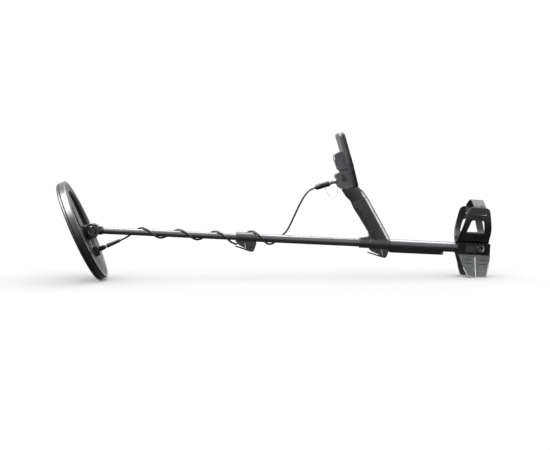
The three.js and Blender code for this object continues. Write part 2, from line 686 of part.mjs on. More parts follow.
// How far the cable's centre winds from the shaft's axis: at a distance up the shaft, a radius.
const WINDING_RADIUS = [
  [100, 12.4], [355, 12.4], [384, 17.6], [391, 23], [396, 23.2], [404, 20.4],
  [412, 19.4], [431, 17.4], [446, 17.4], [470, 16], [520, 14.4],
];

/** A point on the cable's winding, in the shaft's frame, where it is at distance s up the shaft. */
function windingPoint(s) {
  const next = WINDING_RADIUS.findIndex(([at]) => at >= s);
  const [[s0, r0], [s1, r1]] = [WINDING_RADIUS[next - 1], WINDING_RADIUS[next]];
  const r = r0 + ((r1 - r0) * (s - s0)) / (s1 - s0);
  const angle = (2 * Math.PI * (s - CABLE.firstTop)) / CABLE.pitch;
  return [s, -r * Math.sin(angle), r * Math.cos(angle)];
}

/** Points on the winding between two stations up the shaft. */
function windingRun(from, to, count) {
  return Array.from({ length: count + 1 }, (_, i) => windingPoint(from + ((to - from) * i) / count));
}

const TAIL_ROUTE = [[75.6, 20, -25.6], [80, 20.2, -23.4], [86, 20, -20], [93, 18.6, -15.6], [100, 16, -10.5]];
const LEAD_ROUTE = [
  [519, 10.6, 12.8], [525, 9, 20], [531, 7.8, 30], [537, 6.6, 44], [543.5, 5.6, 60], [551, 4.4, 79.5],
  [558.5, 3.2, 97.5], [566, 2, 113], [574, 1, 126.5], [583, 0.3, 136.8], [593.6, 0, 143.1],
];

function coilCable() {
  const tailEnd = 140;
  const leadStart = 482;
  const tail = [...TAIL_ROUTE, ...windingRun(108, tailEnd - GAP, 6)];
  const winds = windingRun(tailEnd + GAP, leadStart - GAP, 56);
  const lead = [...windingRun(leadStart + GAP, 512, 5), ...LEAD_ROUTE];
  add(shaft, "cable_tail", cord(tail, CABLE.r, 16), softRubber);
  add(shaft, "cable_winding", cord(winds, CABLE.r, 76), softRubber);
  add(shaft, "cable_lead", cord(lead, CABLE.r, 34), softRubber);
}

coilAssembly();
shaftTubes();
frontLock();
handleAssembly();
batteryPack();
displayBox();
armrest();
coilCable();

// The part's origin is under the middle of the detector's box, on the ground, leaving out the cable.
const CABLE_PIECES = ["cable_tail", "cable_winding", "cable_lead"];
detector.updateMatrixWorld(true);
const bounds = new THREE.Box3();
detector.traverse((object) => {
  if (object.isMesh && !CABLE_PIECES.includes(object.name)) bounds.expandByObject(object, true);
});
const middle = bounds.getCenter(new THREE.Vector3());
shaft.position.x -= middle.x;
shaft.position.y -= middle.y;
shaft.position.z -= bounds.min.z;

export default detector;
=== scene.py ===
"""A telescopic metal detector that stands on its search coil's rim and its armrest stand.

Lengths in the classes below are millimetres in one of three frames: the shaft's (+X up the shaft to the
armrest, from the coil's hinge), the coil's (+Z along its axis) and the box's (+X towards the user's face).
"""

import sys

import json
import logging
import math
from collections.abc import Iterator, Sequence
from contextlib import contextmanager
from dataclasses import dataclass
from enum import Enum
from itertools import pairwise

import bmesh
import bpy
from bpy.types import ID, Material, Node, NodeSocket, NodeTree, Object
from mathutils import Matrix, Vector

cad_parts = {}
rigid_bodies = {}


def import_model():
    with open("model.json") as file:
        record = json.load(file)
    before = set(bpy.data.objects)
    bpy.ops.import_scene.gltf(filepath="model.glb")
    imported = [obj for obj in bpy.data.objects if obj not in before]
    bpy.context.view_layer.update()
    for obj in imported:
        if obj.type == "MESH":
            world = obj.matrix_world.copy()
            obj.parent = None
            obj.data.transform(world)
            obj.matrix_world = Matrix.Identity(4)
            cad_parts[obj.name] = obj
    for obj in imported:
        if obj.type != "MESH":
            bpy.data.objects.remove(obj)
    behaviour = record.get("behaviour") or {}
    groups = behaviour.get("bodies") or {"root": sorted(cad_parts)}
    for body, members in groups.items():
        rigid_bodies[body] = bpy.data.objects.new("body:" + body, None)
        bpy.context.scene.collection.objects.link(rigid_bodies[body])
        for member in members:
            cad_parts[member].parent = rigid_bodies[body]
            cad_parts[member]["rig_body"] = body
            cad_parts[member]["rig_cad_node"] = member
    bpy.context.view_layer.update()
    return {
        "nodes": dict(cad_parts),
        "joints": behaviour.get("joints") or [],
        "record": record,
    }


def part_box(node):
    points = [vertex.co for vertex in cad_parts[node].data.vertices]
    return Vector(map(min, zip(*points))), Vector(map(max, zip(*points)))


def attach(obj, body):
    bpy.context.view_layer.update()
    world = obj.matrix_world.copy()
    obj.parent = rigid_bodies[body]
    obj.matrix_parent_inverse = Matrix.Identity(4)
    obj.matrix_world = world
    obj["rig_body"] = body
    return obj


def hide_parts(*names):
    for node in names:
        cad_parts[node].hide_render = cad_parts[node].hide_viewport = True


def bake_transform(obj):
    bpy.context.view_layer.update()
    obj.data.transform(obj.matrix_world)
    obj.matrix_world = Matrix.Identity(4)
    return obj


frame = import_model()

LOG = logging.getLogger("detector")
MM = 0.001
Point = tuple[float, ...]
Route = tuple[Point, ...]
Source = Node | NodeSocket  # what feeds a node; a node stands for its first output in use


# ---------- frames ----------


@dataclass(frozen=True)
class Place:
    """A frame of the detector: where its origin is in the row frame, and its turn about Y."""

    origin: Vector
    turn: float

    def matrix(self) -> Matrix:
        """The frame's matrix, for coordinates in metres."""
        return Matrix.Translation(self.origin) @ Matrix.Rotation(self.turn, 4, "Y")

    def at(self, x: float, y: float, z: float) -> Vector:
        """The row frame's point for x, y and z in millimetres."""
        return self.matrix() @ (Vector((x, y, z)) * MM)


COIL_TILT = math.radians(63.8)  # of the coil's axis from the shaft's +Z
HINGE_X = 3.3  # the hinge's bolt along the shaft
BOX_AT = (713.0, 0.0, 160.0)  # the box's user's face meets the handle here


def joint_axis(name: str) -> Vector:
    """The axis of one of the frame's joints.

    Args:
        name: the joint's name.

    Returns:
        Its direction in the row frame.
    """
    return Vector(next(j["axis"] for j in frame["joints"] if j["name"] == name))


def turn_of(axis: Vector) -> float:
    """The turn about Y that takes +X to an axis."""
    return math.atan2(-axis.z, axis.x)


def find_shaft() -> Place:
    """The shaft's frame, from the hinge bolt's place and the direction that the tubes slide in."""
    low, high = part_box("hinge_bolt")
    along = joint_axis("middle_slide")
    hinge = Vector(((low.x + high.x) / 2, 0.0, (low.z + high.z) / 2))
    return Place(hinge - along * HINGE_X * MM, turn_of(along))


SHAFT = find_shaft()
COIL = Place(SHAFT.at(HINGE_X, 0, 0), SHAFT.turn + COIL_TILT)
BOX = Place(SHAFT.at(*BOX_AT), turn_of(-joint_axis("key_up_press")))


class Axis(Enum):
    """The axis of a place that a turned piece or a plate lies along, as the turn of its local Z."""

    X = Matrix.Rotation(math.pi / 2, 4, "Y") @ Matrix.Rotation(math.pi / 2, 4, "Z")
    Y = Matrix.Rotation(-math.pi / 2, 4, "X") @ Matrix.Rotation(-math.pi / 2, 4, "Z")
    Z = Matrix.Identity(4)


# ---------- modelling ----------


def only(obj: Object) -> None:
    """Selects one object alone and makes it active."""
    bpy.ops.object.select_all(action="DESELECT")
    obj.select_set(True)
    bpy.context.view_layer.objects.active = obj


def add_object(name: str, data: ID | None, at: Point = (0, 0, 0), turn: Point = (0, 0, 0)) -> Object:
    """Adds an object to the scene.

    Args:
        name: its name.
        data: its curve, light or camera, or none for an empty.
        at: where it is, in metres.
        turn: its Euler angles.

    Returns:
        The object.
    """
    obj = bpy.data.objects.new(name, data)
    obj.location = at
    obj.rotation_euler = turn
    bpy.context.scene.collection.objects.link(obj)
    return obj


@contextmanager
def editing(obj: Object) -> Iterator[bmesh.types.BMesh]:
    """Opens an object in edit mode with everything selected."""
    only(obj)
    bpy.ops.object.mode_set(mode="EDIT")
    bpy.ops.mesh.select_all(action="SELECT")
    yield bmesh.from_edit_mesh(obj.data)
    bpy.ops.object.mode_set(mode="OBJECT")


def modify(obj: Object, kind: str, **settings: object) -> None:
    """Adds a modifier with its settings and applies it.

    Args:
        obj: the object.
        kind: the modifier's type.
        settings: the modifier's own values.
    """
    only(obj)
    modifier = obj.modifiers.new(kind.title(), kind)
    for key, value in settings.items():
        setattr(modifier, key, value)
    bpy.ops.object.modifier_apply(modifier=modifier.name)


def soften(obj: Object, width: float, segments: int = 2, limit: float = 38) -> Object:
    """Rounds off the sharp edges and smooths what lies between them.

    Args:
        obj: the object.
        width: how far from the edge the rounding starts, in millimetres.
        segments: the rounding's steps.
        limit: the sharpest bend, in degrees, that stays unrounded.

    Returns:
        The same object.
    """
    if width > 0:
        modify(
            obj, "BEVEL", width=width * MM, segments=segments, limit_method="ANGLE",
            angle_limit=math.radians(limit), use_clamp_overlap=False, miter_outer="MITER_ARC",
        )
    only(obj)
    bpy.ops.object.shade_smooth_by_angle(angle=math.radians(limit))
    modify(obj, "WEIGHTED_NORMAL", keep_sharp=True)
    return obj


def tidy_normals() -> None:
    """Merges doubled points and turns all faces outwards, in edit mode."""
    bpy.ops.mesh.select_all(action="SELECT")
    bpy.ops.mesh.remove_doubles(threshold=0.002 * MM)
    bpy.ops.mesh.normals_make_consistent(inside=False)


def settle(obj: Object, matrix: Matrix) -> Object:
    """Puts a finished object in its place and applies that to its mesh.

    Args:
        obj: the object, made about the world's origin.
        matrix: the frame that it was made in.

    Returns:
        The same object, at the origin and unturned.
    """
    only(obj)
    obj.matrix_world = matrix @ obj.matrix_world
    bpy.ops.object.transform_apply(location=True, rotation=True, scale=True)
    return obj


def fetch(node: str, name: str) -> Object:
    """A merged copy of a CAD node, to finish further.

    Args:
        node: the CAD node.
        name: the new piece's name.

    Returns:
        The copy, with flat faces instead of triangles.
    """
    copy = frame["nodes"][node].copy()
    copy.data = copy.data.copy()
    copy.name = name
    copy.parent = None
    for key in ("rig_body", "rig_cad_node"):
        del copy[key]
    copy.hide_viewport = False
    copy.hide_render = False
    bpy.context.scene.collection.objects.link(copy)
    copy.hide_set(False)
    with editing(copy):
        bpy.ops.mesh.remove_doubles(threshold=0.004 * MM)
        bpy.ops.mesh.dissolve_limited(angle_limit=math.radians(0.4))
    return copy


def turned(
    name: str,
    sections: Sequence[tuple[float, float]],
    place: Place,
    centre: Point = (0, 0, 0),
    axis: Axis = Axis.Z,
    sides: int = 48,
) -> Object:
    """A piece turned about an axis, by extruding a disc section after section.

    Args:
        name: the piece's name.
        sections: (distance along the axis, radius) pairs; a ring's last pair is its first.
        place: the frame that centre is in.
        centre: where the axis's zero is, in millimetres.
        axis: the axis of the place to turn about.
        sides: the number of sides.

    Returns:
        The piece, in place.
    """
    ring = sections[0] == sections[-1]
    start, radius = sections[0]
    bpy.ops.object.select_all(action="DESELECT")
    bpy.ops.mesh.primitive_circle_add(
        vertices=sides, radius=radius * MM, location=(0, 0, start * MM),
        fill_type="NOTHING" if ring else "NGON",
    )
    obj = bpy.context.object
    obj.name = name
    with editing(obj):
        for (z0, r0), (z1, r1) in pairwise(sections):
            bpy.ops.mesh.extrude_region_move(TRANSFORM_OT_translate={"value": (0, 0, (z1 - z0) * MM)})
            bpy.ops.transform.resize(value=(r1 / r0, r1 / r0, 1), center_override=(0, 0, 0))
        tidy_normals()
    only(obj)
    bpy.ops.object.shade_smooth_by_angle(angle=math.radians(35))
    spot = Matrix.Translation(place.at(*centre)) @ Matrix.Rotation(place.turn, 4, "Y")
    return settle(obj, spot @ axis.value)


def rounded(corners: Sequence[Point], steps: int = 6) -> list[Vector]:
    """An outline with its corners rounded off.

    Args:
        corners: points of (a, b) or (a, b, radius).
        steps: the points round each rounded corner.

    Returns:
        The outline's points.
    """
    points = []
    for i, (a, b, *radius) in enumerate(corners):
        here = Vector((a, b))
        if not radius:
            points.append(here)
            continue
        before = Vector(corners[i - 1][:2]) - here
        after = Vector(corners[(i + 1) % len(corners)][:2]) - here
        start = before * min(0.48, radius[0] / before.length)
        end = after * min(0.48, radius[0] / after.length)
        for k in range(steps + 1):
            t = k / steps
            points.append(here + start * (1 - t) ** 2 + end * t**2)
    return points


def plate(
    name: str,
    corners: Sequence[Point],
    low: float,
    high: float,
    axis: Axis = Axis.Y,
    place: Place = SHAFT,
) -> Object:
    """A plate with a rounded outline: a disc drawn out to the outline, then extruded.

    Args:
        name: the piece's name.
        corners: the outline, in (x, z) for Axis.Y, (y, z) for Axis.X or (x, y) for Axis.Z.
        low: where the plate starts along the axis.
        high: where it ends.
        axis: its normal.
        place: the frame that it is in.

    Returns:
        The plate, in place.
    """
    points = rounded(corners)
    bpy.ops.object.select_all(action="DESELECT")
    bpy.ops.mesh.primitive_circle_add(vertices=len(points), radius=MM, fill_type="NGON")
    obj = bpy.context.object
    obj.name = name
    for vertex, (a, b) in zip(obj.data.vertices, points):
        x, y, z = {Axis.X: (low, a, b), Axis.Y: (a, low, b), Axis.Z: (a, b, low)}[axis]
        vertex.co = Vector((x, y, z)) * MM
    step = {Axis.X: (1, 0, 0), Axis.Y: (0, 1, 0), Axis.Z: (0, 0, 1)}[axis]
    with editing(obj):
        bpy.ops.mesh.extrude_region_move(
            TRANSFORM_OT_translate={"value": Vector(step) * (high - low) * MM}
        )
        tidy_normals()
    return settle(obj, place.matrix())


def smooth_line(points: Sequence[Point], spacing: float) -> list[Vector]:
    """A smooth line through points, the centripetal Catmull-Rom curve.

    Args:
        points: the points that it passes through.
        spacing: about how far apart its own points are.

    Returns:
        The line's points, from the first point to the last.
    """
    knots = [Vector(p) for p in points]
    knots = [2 * knots[0] - knots[1], *knots, 2 * knots[-1] - knots[-2]]
    line = []
    for a, b, c, d in zip(knots, knots[1:], knots[2:], knots[3:]):
        gaps = [max((q - p).length ** 0.5, 1e-9) for p, q in ((a, b), (b, c), (c, d))]
        out = ((b - a) / gaps[0] - (c - a) / (gaps[0] + gaps[1]) + (c - b) / gaps[1]) * gaps[1]
        into = ((c - b) / gaps[1] - (d - b) / (gaps[1] + gaps[2]) + (d - c) / gaps[2]) * gaps[1]
        count = max(1, round((c - b).length / spacing))
        for k in range(count):
            t = k / count
            line.append(
                b * (2 * t**3 - 3 * t**2 + 1) + out * (t**3 - 2 * t**2 + t)
                + c * (3 * t**2 - 2 * t**3) + into * (t**3 - t**2)
            )
    return [*line, knots[-2]]


def offset_line(line: Sequence[Vector], distance: float) -> list[Vector]:
    """A flat line moved sideways.

    Args:
        line: its points, in two coordinates.
        distance: to the left of the line's direction; negative is to the right.

    Returns:
        The moved line's points.
    """
    moved = []
    for i, spot in enumerate(line):
        before, after = line[max(i - 1, 0)], line[min(i + 1, len(line) - 1)]
        along = (after - before).normalized()
        moved.append(spot + Vector((-along.y, along.x)) * distance)
    return moved


def length_of(line: Sequence[Vector]) -> float:
    """The length of a line through points."""
    return sum((b - a).length for a, b in pairwise(line))


def ribbon(
    name: str,
    line: Sequence[Vector],
    low: float,
    high: float,
    thickness: float,
    axis: Axis = Axis.X,
    columns: int = 8,
) -> Object:
    """A flat strip in the shaft's frame that follows a line, as a grid laid along it and thickened.

    Args:
        name: the piece's name.
        line: its points, in (y, z) for Axis.X or (x, z) for Axis.Y.
        low: where the strip starts along the axis.
        high: where it ends.
        thickness: in millimetres, to the left of the line; negative is to the right.
        axis: the axis that the strip's width runs along.
        columns: the grid's faces across the width.

    Returns:
        The strip, in place, with its UVs along and across it.
    """
    bpy.ops.object.select_all(action="DESELECT")
    bpy.ops.mesh.primitive_grid_add(x_subdivisions=columns, y_subdivisions=len(line) - 1, size=2)
    obj = bpy.context.object
    obj.name = name
    for vertex in obj.data.vertices:
        share = (vertex.co.x + 1) / 2
        a, b = line[round((vertex.co.y + 1) / 2 * (len(line) - 1))]
        width = low + (high - low) * share
        vertex.co = Vector((width, a, b) if axis is Axis.X else (a, width, b)) * MM
    outward = (thickness > 0) == (axis is Axis.X)
    modify(obj, "SOLIDIFY", thickness=abs(thickness) * MM, offset=1 if outward else -1)
    with editing(obj):
        bpy.ops.mesh.normals_make_consistent(inside=False)
    return settle(obj, SHAFT.matrix())


def tube_along(name: str, line: Sequence[Vector], radius: float, sides: int = 4) -> Object:
    """A round cord along a line, as a mesh.

    Args:
        name: the piece's name.
        line: its centreline, in the row frame, in metres.
        radius: in millimetres.
        sides: the curve's bevel resolution.

    Returns:
        The cord.
    """
    curve = bpy.data.curves.new(name, "CURVE")
    curve.dimensions = "3D"
    curve.bevel_depth = radius * MM
    curve.bevel_resolution = sides
    curve.use_fill_caps = True
    spline = curve.splines.new("POLY")
    spline.points.add(len(line) - 1)
    for point, spot in zip(spline.points, line):
        point.co = (*spot, 1)
    only(add_object(name, curve))
    bpy.ops.object.convert(target="MESH")
    obj = bpy.context.object
    bpy.ops.object.shade_smooth_by_angle(angle=math.radians(50))
    return obj


def carve(obj: Object, *cutters: Object, operation: str = "DIFFERENCE") -> None:
    """Cuts an object with others, which are then removed.

    Args:
        obj: the object.
        cutters: what it is cut with.
        operation: DIFFERENCE, INTERSECT or UNION.
    """
    for cutter in cutters:
        modify(obj, "BOOLEAN", object=cutter, operation=operation, solver="EXACT")
        bpy.data.objects.remove(cutter)


# ---------- finishes ----------


def linear(code: str) -> tuple[float, float, float, float]:
    """An sRGB hex colour as linear values with full alpha."""
    parts = [int(code[i : i + 2], 16) / 255 for i in (0, 2, 4)]
    red, green, blue = (c / 12.92 if c <= 0.04045 else ((c + 0.055) / 1.055) ** 2.4 for c in parts)
    return (red, green, blue, 1.0)


def feed(tree: NodeTree, socket: NodeSocket, value: object) -> None:
    """Sets an input's value, or links what feeds it.

    Args:
        tree: the node tree.
        socket: the input.
        value: a value, a socket, or a node for its first output in use.
    """
    if isinstance(value, Node):
        value = next(output for output in value.outputs if output.enabled)
    if isinstance(value, NodeSocket):
        tree.links.new(value, socket)
    else:
        socket.default_value = value


def add_node(tree: NodeTree, kind: str, *feeds: object, **named: object) -> Node:
    """Adds a node with its settings, values and links.

    Args:
        tree: the node tree.
        kind: the node's type, without ShaderNode.
        feeds: what feeds its inputs in use, in their order.
        named: its settings in lower case, and what feeds other inputs, with underscores for spaces.

    Returns:
        The node.
    """
    node = tree.nodes.new(f"ShaderNode{kind}")
    for key, value in named.items():
        if key.islower():
            setattr(node, key, value)
    for socket, value in zip([socket for socket in node.inputs if socket.enabled], feeds):
        feed(tree, socket, value)
    for key, value in named.items():
        if not key.islower():
            feed(tree, node.inputs[key.replace("_", " ")], value)
    return node


@dataclass(frozen=True)
class Finish:
    """A surface whose tone and gloss wander a little, with a fine relief.

    base and shade are the sRGB colours that the tone wanders between, patch is the size of a patch in
    millimetres, grain the size of the relief's grain, and relief its height.
    """

    name: str
    base: str
    shade: str
    roughness: float
    patch: float = 30.0
    grain: float = 1.6
    relief: float = 0.02
    metallic: float = 0.0
    ior: float = 1.5
    coat: float = 0.0

    def coordinates(self, tree: NodeTree) -> Source:
        """Where the patterns are read, as Object coordinates in metres."""
        return add_node(tree, "TexCoord").outputs["Object"]

    def scale(self, size: float) -> float:
        """A pattern's scale, for features of a size in millimetres."""
        return 1 / (size * MM)

    def noise(self, tree: NodeTree, place: Source, size: float, detail: float = 3) -> Source:
        """Noise with features of a size in millimetres."""
        return add_node(tree, "TexNoise", place, Scale=self.scale(size), Detail=detail)

    def tone(self, tree: NodeTree, place: Source) -> Source:
        """The colour, from base to shade in soft patches."""
        ramp = add_node(tree, "ValToRGB", self.noise(tree, place, self.patch))
        for stop, at, code in zip(ramp.color_ramp.elements, (0.3, 0.7), (self.shade, self.base)):
            stop.position = at
            stop.color = linear(code)
        return ramp

    def height(self, tree: NodeTree, place: Source) -> Source:
        """The relief's height, from 0 to 1."""
        return self.noise(tree, place, self.grain, 2)

    def material(self) -> Material:
        """The finish as a material, made once."""
        made = bpy.data.materials.get(self.name)
        if made:
            return made
        made = bpy.data.materials.new(self.name)
        made.use_nodes = True
        tree = made.node_tree
        place = self.coordinates(tree)
        wander = self.noise(tree, place, self.patch * 0.6)
        low, high = self.roughness * 0.88, min(1.0, self.roughness * 1.12)
        height = self.height(tree, place)
        wanted = {
            "Base Color": self.tone(tree, place),
            "Roughness": add_node(tree, "MapRange", wander, To_Min=low, To_Max=high),
            "Normal": add_node(tree, "Bump", Height=height, Strength=0.5, Distance=self.relief * MM),
            "Metallic": self.metallic,
            "Coat Weight": self.coat,
        }
        if not self.metallic:
            wanted["IOR"] = self.ior
        for name, value in wanted.items():
            feed(tree, tree.nodes["Principled BSDF"].inputs[name], value)
        return made


@dataclass(frozen=True)
class MouldedPlastic(Finish):
    """ABS or nylon from a spark-eroded mould: an even, fine pebble that breaks its highlights up."""

    def height(self, tree: NodeTree, place: Source) -> Source:
        """Pebbles of the grain's size."""
        return add_node(tree, "TexVoronoi", place, feature="SMOOTH_F1", Scale=self.scale(self.grain))


@dataclass(frozen=True)
class SoftRubber(Finish):
    """Thermoplastic rubber: dull, with a leathery cell pattern and a trace of dust in it."""

    dust: str = "3a3a3b"

    def tone(self, tree: NodeTree, place: Source) -> Source:
        """The base tone with dust in thin patches."""
        patches = self.noise(tree, place, self.patch * 0.3, 6)
        dust = add_node(tree, "MapRange", patches, From_Min=0.55, From_Max=0.8, To_Max=0.35)
        under = Finish.tone(self, tree, place)
        return add_node(tree, "Mix", dust, under, linear(self.dust), data_type="RGBA")

    def height(self, tree: NodeTree, place: Source) -> Source:
        """Cells with soft valleys between them."""
        scale = self.scale(self.grain)
        cells = add_node(tree, "TexVoronoi", place, feature="DISTANCE_TO_EDGE", Scale=scale)
        return add_node(tree, "MapRange", cells, From_Max=0.25)


@dataclass(frozen=True)
class HatchedRubber(SoftRubber):
    """Rubber with two sets of fine grooves that cross on the slant."""

    pitch: float = 3.4

    def height(self, tree: NodeTree, place: Source) -> Source:
        """Diamonds between the grooves."""
        parts = add_node(tree, "SeparateXYZ", place).outputs
        waves = []
        for slope in (1.4, -1.4):
            across = add_node(tree, "Math", parts["Z"], slope, parts["X"], operation="MULTIPLY_ADD")
            turns = add_node(tree, "Math", across, math.pi / (self.pitch * MM), operation="MULTIPLY")
            wave = add_node(tree, "Math", turns, operation="SINE")
            waves.append(add_node(tree, "Math", wave, operation="ABSOLUTE"))
        lower = add_node(tree, "Math", *waves, operation="MINIMUM")
        return add_node(tree, "MapRange", lower, From_Max=0.4)


@dataclass(frozen=True)
class DrawnTube(Finish):
    """Drawn and anodised aluminium: faint lines run along the tube and stretch its highlight."""

    def coordinates(self, tree: NodeTree) -> Source:
        """Object coordinates turned to the shaft and drawn out along it."""
        plain = Finish.coordinates(self, tree)
        return add_node(tree, "Mapping", plain, Rotation=(0, -SHAFT.turn, 0), Scale=(0.03, 1, 1))


@dataclass(frozen=True)
class Webbing(Finish):
    """Woven polypropylene strap: warp and weft threads over and under each other."""

    thread: float = 1.8
    size: tuple[float, float] = (33.5, 144.5)

    def coordinates(self, tree: NodeTree) -> Source:
        """The strap's own UVs, in thread spacings."""
        counts = [length / self.thread for length in self.size]
        return add_node(tree, "Mapping", add_node(tree, "TexCoord").outputs["UV"], Scale=(*counts, 1))

    def scale(self, size: float) -> float:
        """A pattern's scale, for features of a size in millimetres."""
        return self.thread / size

    def height(self, tree: NodeTree, place: Source) -> Source:
        """Threads that cross over and under."""
        parts = add_node(tree, "SeparateXYZ", place).outputs
        turns = [add_node(tree, "Math", parts[key], math.pi, operation="MULTIPLY") for key in "XY"]
        waves = [add_node(tree, "Math", turn, operation="SINE") for turn in turns]
        crossing = add_node(tree, "Math", *waves, operation="MULTIPLY")
        return add_node(tree, "MapRange", crossing, From_Min=-1)

    def tone(self, tree: NodeTree, place: Source) -> Source:
        """Painted shade: darker between the threads, in the hollows of the weave."""
        over = Finish.tone(self, tree, place)
        return add_node(tree, "Mix", self.height(tree, place), linear(self.shade), over, data_type="RGBA")


@dataclass(frozen=True)
class SmokedWindow(Finish):
    """Smoked acrylic over a reflective liquid crystal panel: deep gloss, with a paler field inside."""

    panel: str = "59605a"
    field_low: tuple[float, float] = (-30.0, 73.0)
    field_high: tuple[float, float] = (30.0, 137.0)

    def tone(self, tree: NodeTree, place: Source) -> Source:
        """The dark rim, with the panel's paler field within its limits across and up the window."""
        under = Finish.tone(self, tree, place)
        turn = (0, BOX.turn, 0)
        local = add_node(tree, "Mapping", place, vector_type="TEXTURE", Location=BOX.origin, Rotation=turn)
        parts = add_node(tree, "SeparateXYZ", local).outputs
        inside = 1.0
        for key, low, high in zip("YZ", self.field_low, self.field_high):
            for operation, limit in (("GREATER_THAN", low), ("LESS_THAN", high)):
                test = add_node(tree, "Math", parts[key], limit * MM, operation=operation)
                inside = add_node(tree, "Math", test, inside, operation="MULTIPLY")
        return add_node(tree, "Mix", inside, under, linear(self.panel), data_type="RGBA")


# Moulded ABS: dark, with the mould's pebble, drawn at 1.6 mm, coarser than the real 0.2 mm, so that it shows.
SHELL = MouldedPlastic("black_abs_spark_eroded", "232425", "1a1b1c", 0.38, relief=0.03, ior=1.53)
COIL_ABS = MouldedPlastic("black_abs_coil", "1b1c1d", "131415", 0.46, relief=0.02, ior=1.42)
# The rear case is paler: painted light on the side of the box that faces the key light.
CASE_PAINTED_LIGHT = MouldedPlastic("charcoal_abs_spark_eroded_painted_light", "3e3f41", "333436", 0.36, relief=0.03, ior=1.55)
# Polished ABS: tight, bright highlights.
RIM = MouldedPlastic("black_abs_coil_rim", "1c1d1e", "161617", 0.3, relief=0.008, ior=1.6)
GLOSS = MouldedPlastic("black_polished_abs", "0f1011", "0b0c0d", 0.14, relief=0.006, ior=1.55, coat=0.4)
# Glass-filled nylon: a dense black with a low sheen; the gland's ring is undyed.
NYLON = MouldedPlastic("black_glass_filled_nylon", "161617", "0f1010", 0.34, relief=0.02, ior=1.53)
NECK = MouldedPlastic("grey_nylon_gland_ring", "c4c5c8", "aeafb2", 0.35, relief=0.01)
# Polyethylene and polypropylene: waxy and soft in their highlights; filler makes the stand's grey. The pale
# finish is painted highlight, laid on ridges, beads and arcs that catch the light.
SKID = MouldedPlastic("black_polyethylene_skid", "232425", "1b1c1d", 0.34, grain=2.4, relief=0.03)
MATT = MouldedPlastic("matt_black_polypropylene", "0c0c0d", "080808", 0.8, relief=0.02, ior=1.3)
STAND = MouldedPlastic("grey_filled_polypropylene", "4f5051", "3d3e3f", 0.36, grain=1.4, relief=0.02)
EDGE = MouldedPlastic("pale_painted_highlight", "b4b5b8", "9a9b9e", 0.3, grain=1.4, relief=0.01)
# Rubber and foam: dull, with soft cells; the grip's grooves are 3.4 mm apart, coarser than real ones.
GRIP = HatchedRubber("black_overmoulded_rubber", "202021", "161617", 0.5, relief=0.3, dust="2c2c2d")
RUBBER = SoftRubber("black_moulded_rubber", "181819", "111112", 0.5, grain=1.2, relief=0.03, dust="262627")
FOAM = SoftRubber("closed_cell_foam", "242425", "1b1b1c", 0.9, grain=1.1, relief=0.05)
# Cable jacket: smooth PVC with a low, even gloss.
JACKET = Finish("black_pvc_cable_jacket", "121213", "0c0c0d", 0.4, grain=0.9, relief=0.012, ior=1.46)
# Anodised aluminium: a dark metal whose highlight runs along the tube.
TUBE = DrawnTube(
    "black_anodised_drawn_aluminium", "626365", "525355", 0.27, grain=0.6, relief=0.008, metallic=0.9
)
# Plate and bare steel: clear reflections, dulled by zinc and nearly lost in black oxide.
NICKEL = Finish("bright_nickel_plate", "b9bcc0", "9b9ea3", 0.14, grain=0.8, relief=0.006, metallic=1.0)
STEEL = Finish("zinc_plated_steel", "8d9094", "74777b", 0.3, grain=0.7, relief=0.01, metallic=1.0)
OXIDE = Finish("black_oxide_steel", "2a2a2b", "202021", 0.36, grain=0.7, relief=0.01, metallic=0.8)
# A pale, even satin: painted highlight down the handle's rounded back, where it catches the light.
TRIM_PAINTED_HIGHLIGHT = Finish("pale_trim_painted_highlight", "e3e4e6", "d2d3d5", 0.3, grain=0.5, relief=0.004, coat=0.3)
# Inside the coil and the box: enamelled wire, green board, shrink wrap, liquid crystal and clear lens.
COPPER = Finish("enamelled_copper_wire", "a4602f", "7f4622", 0.34, grain=0.5, relief=0.05, metallic=1.0)
LAMINATE = Finish("green_solder_mask_laminate", "1d5c3b", "144a2e", 0.35, patch=8, relief=0.02, coat=0.4)
WRAP = Finish("blue_heat_shrink_wrap", "2f5688", "274872", 0.4, patch=12, relief=0.02)
CELL = Finish("liquid_crystal_panel", "6b736c", "5f6760", 0.2, patch=20, relief=0.004)
CLEAR = Finish("clear_polycarbonate_lens", "9aa3a8", "8a9398", 0.08, relief=0.004, ior=1.58, coat=0.5)
WINDOW = SmokedWindow("smoked_acrylic_window", "0d0f10", "0a0b0c", 0.07, relief=0.002, ior=1.49)
# Textiles and print: nylon cord, webbing with 1.8 mm threads, coarser than real ones, and matt ink.
CORD = Finish("natural_nylon_cord", "b9bbbd", "9a9c9e", 0.45, patch=6, grain=0.5, relief=0.02)
WOVEN = Webbing("woven_polypropylene_webbing", "606163", "222325", 0.75, patch=9, relief=0.5)
MARK = Finish("white_pad_print", "c9cacc", "b4b5b7", 0.5, patch=4, relief=0.002)


# ---------- reporting ----------

BODY_OF = {node: body for body, nodes in frame["record"]["behaviour"]["bodies"].items() for node in nodes}


def dress(obj: Object, finish: Finish) -> None:
    """Gives an object its one material."""
    if obj.material_slots:
        obj.material_slots[0].material = finish.material()
    else:
        obj.data.materials.append(finish.material())


def deliver(obj: Object, finish: Finish, like: str, instead: bool = False) -> Object:
    """Dresses a piece, sets it riding and reports it.

    Args:
        obj: the piece, in place.
        finish: its surface.
        like: the CAD node whose body it takes.
        instead: whether it stands for that node.

    Returns:
        The piece.
    """
    dress(obj, finish)
    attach(obj, BODY_OF[like])
    if instead:
        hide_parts(like)
    LOG.info("%s rides on %s, %d faces", obj.name, BODY_OF[like], len(obj.data.polygons))
    return obj


def mould(node: str, finish: Finish, width: float, segments: int = 2, limit: float = 38) -> Object:
    """A CAD node as its finished moulding or casting, with rounded edges.

    Args:
        node: the CAD node.
        finish: its surface.
        width: the edge's rounding in millimetres.
        segments: the rounding's steps.
        limit: the sharpest bend, in degrees, that stays unrounded.

    Returns:
        The finished piece.
    """
    obj = soften(fetch(node, f"{node}_finished"), width, segments, limit)
    return deliver(obj, finish, node, instead=True)


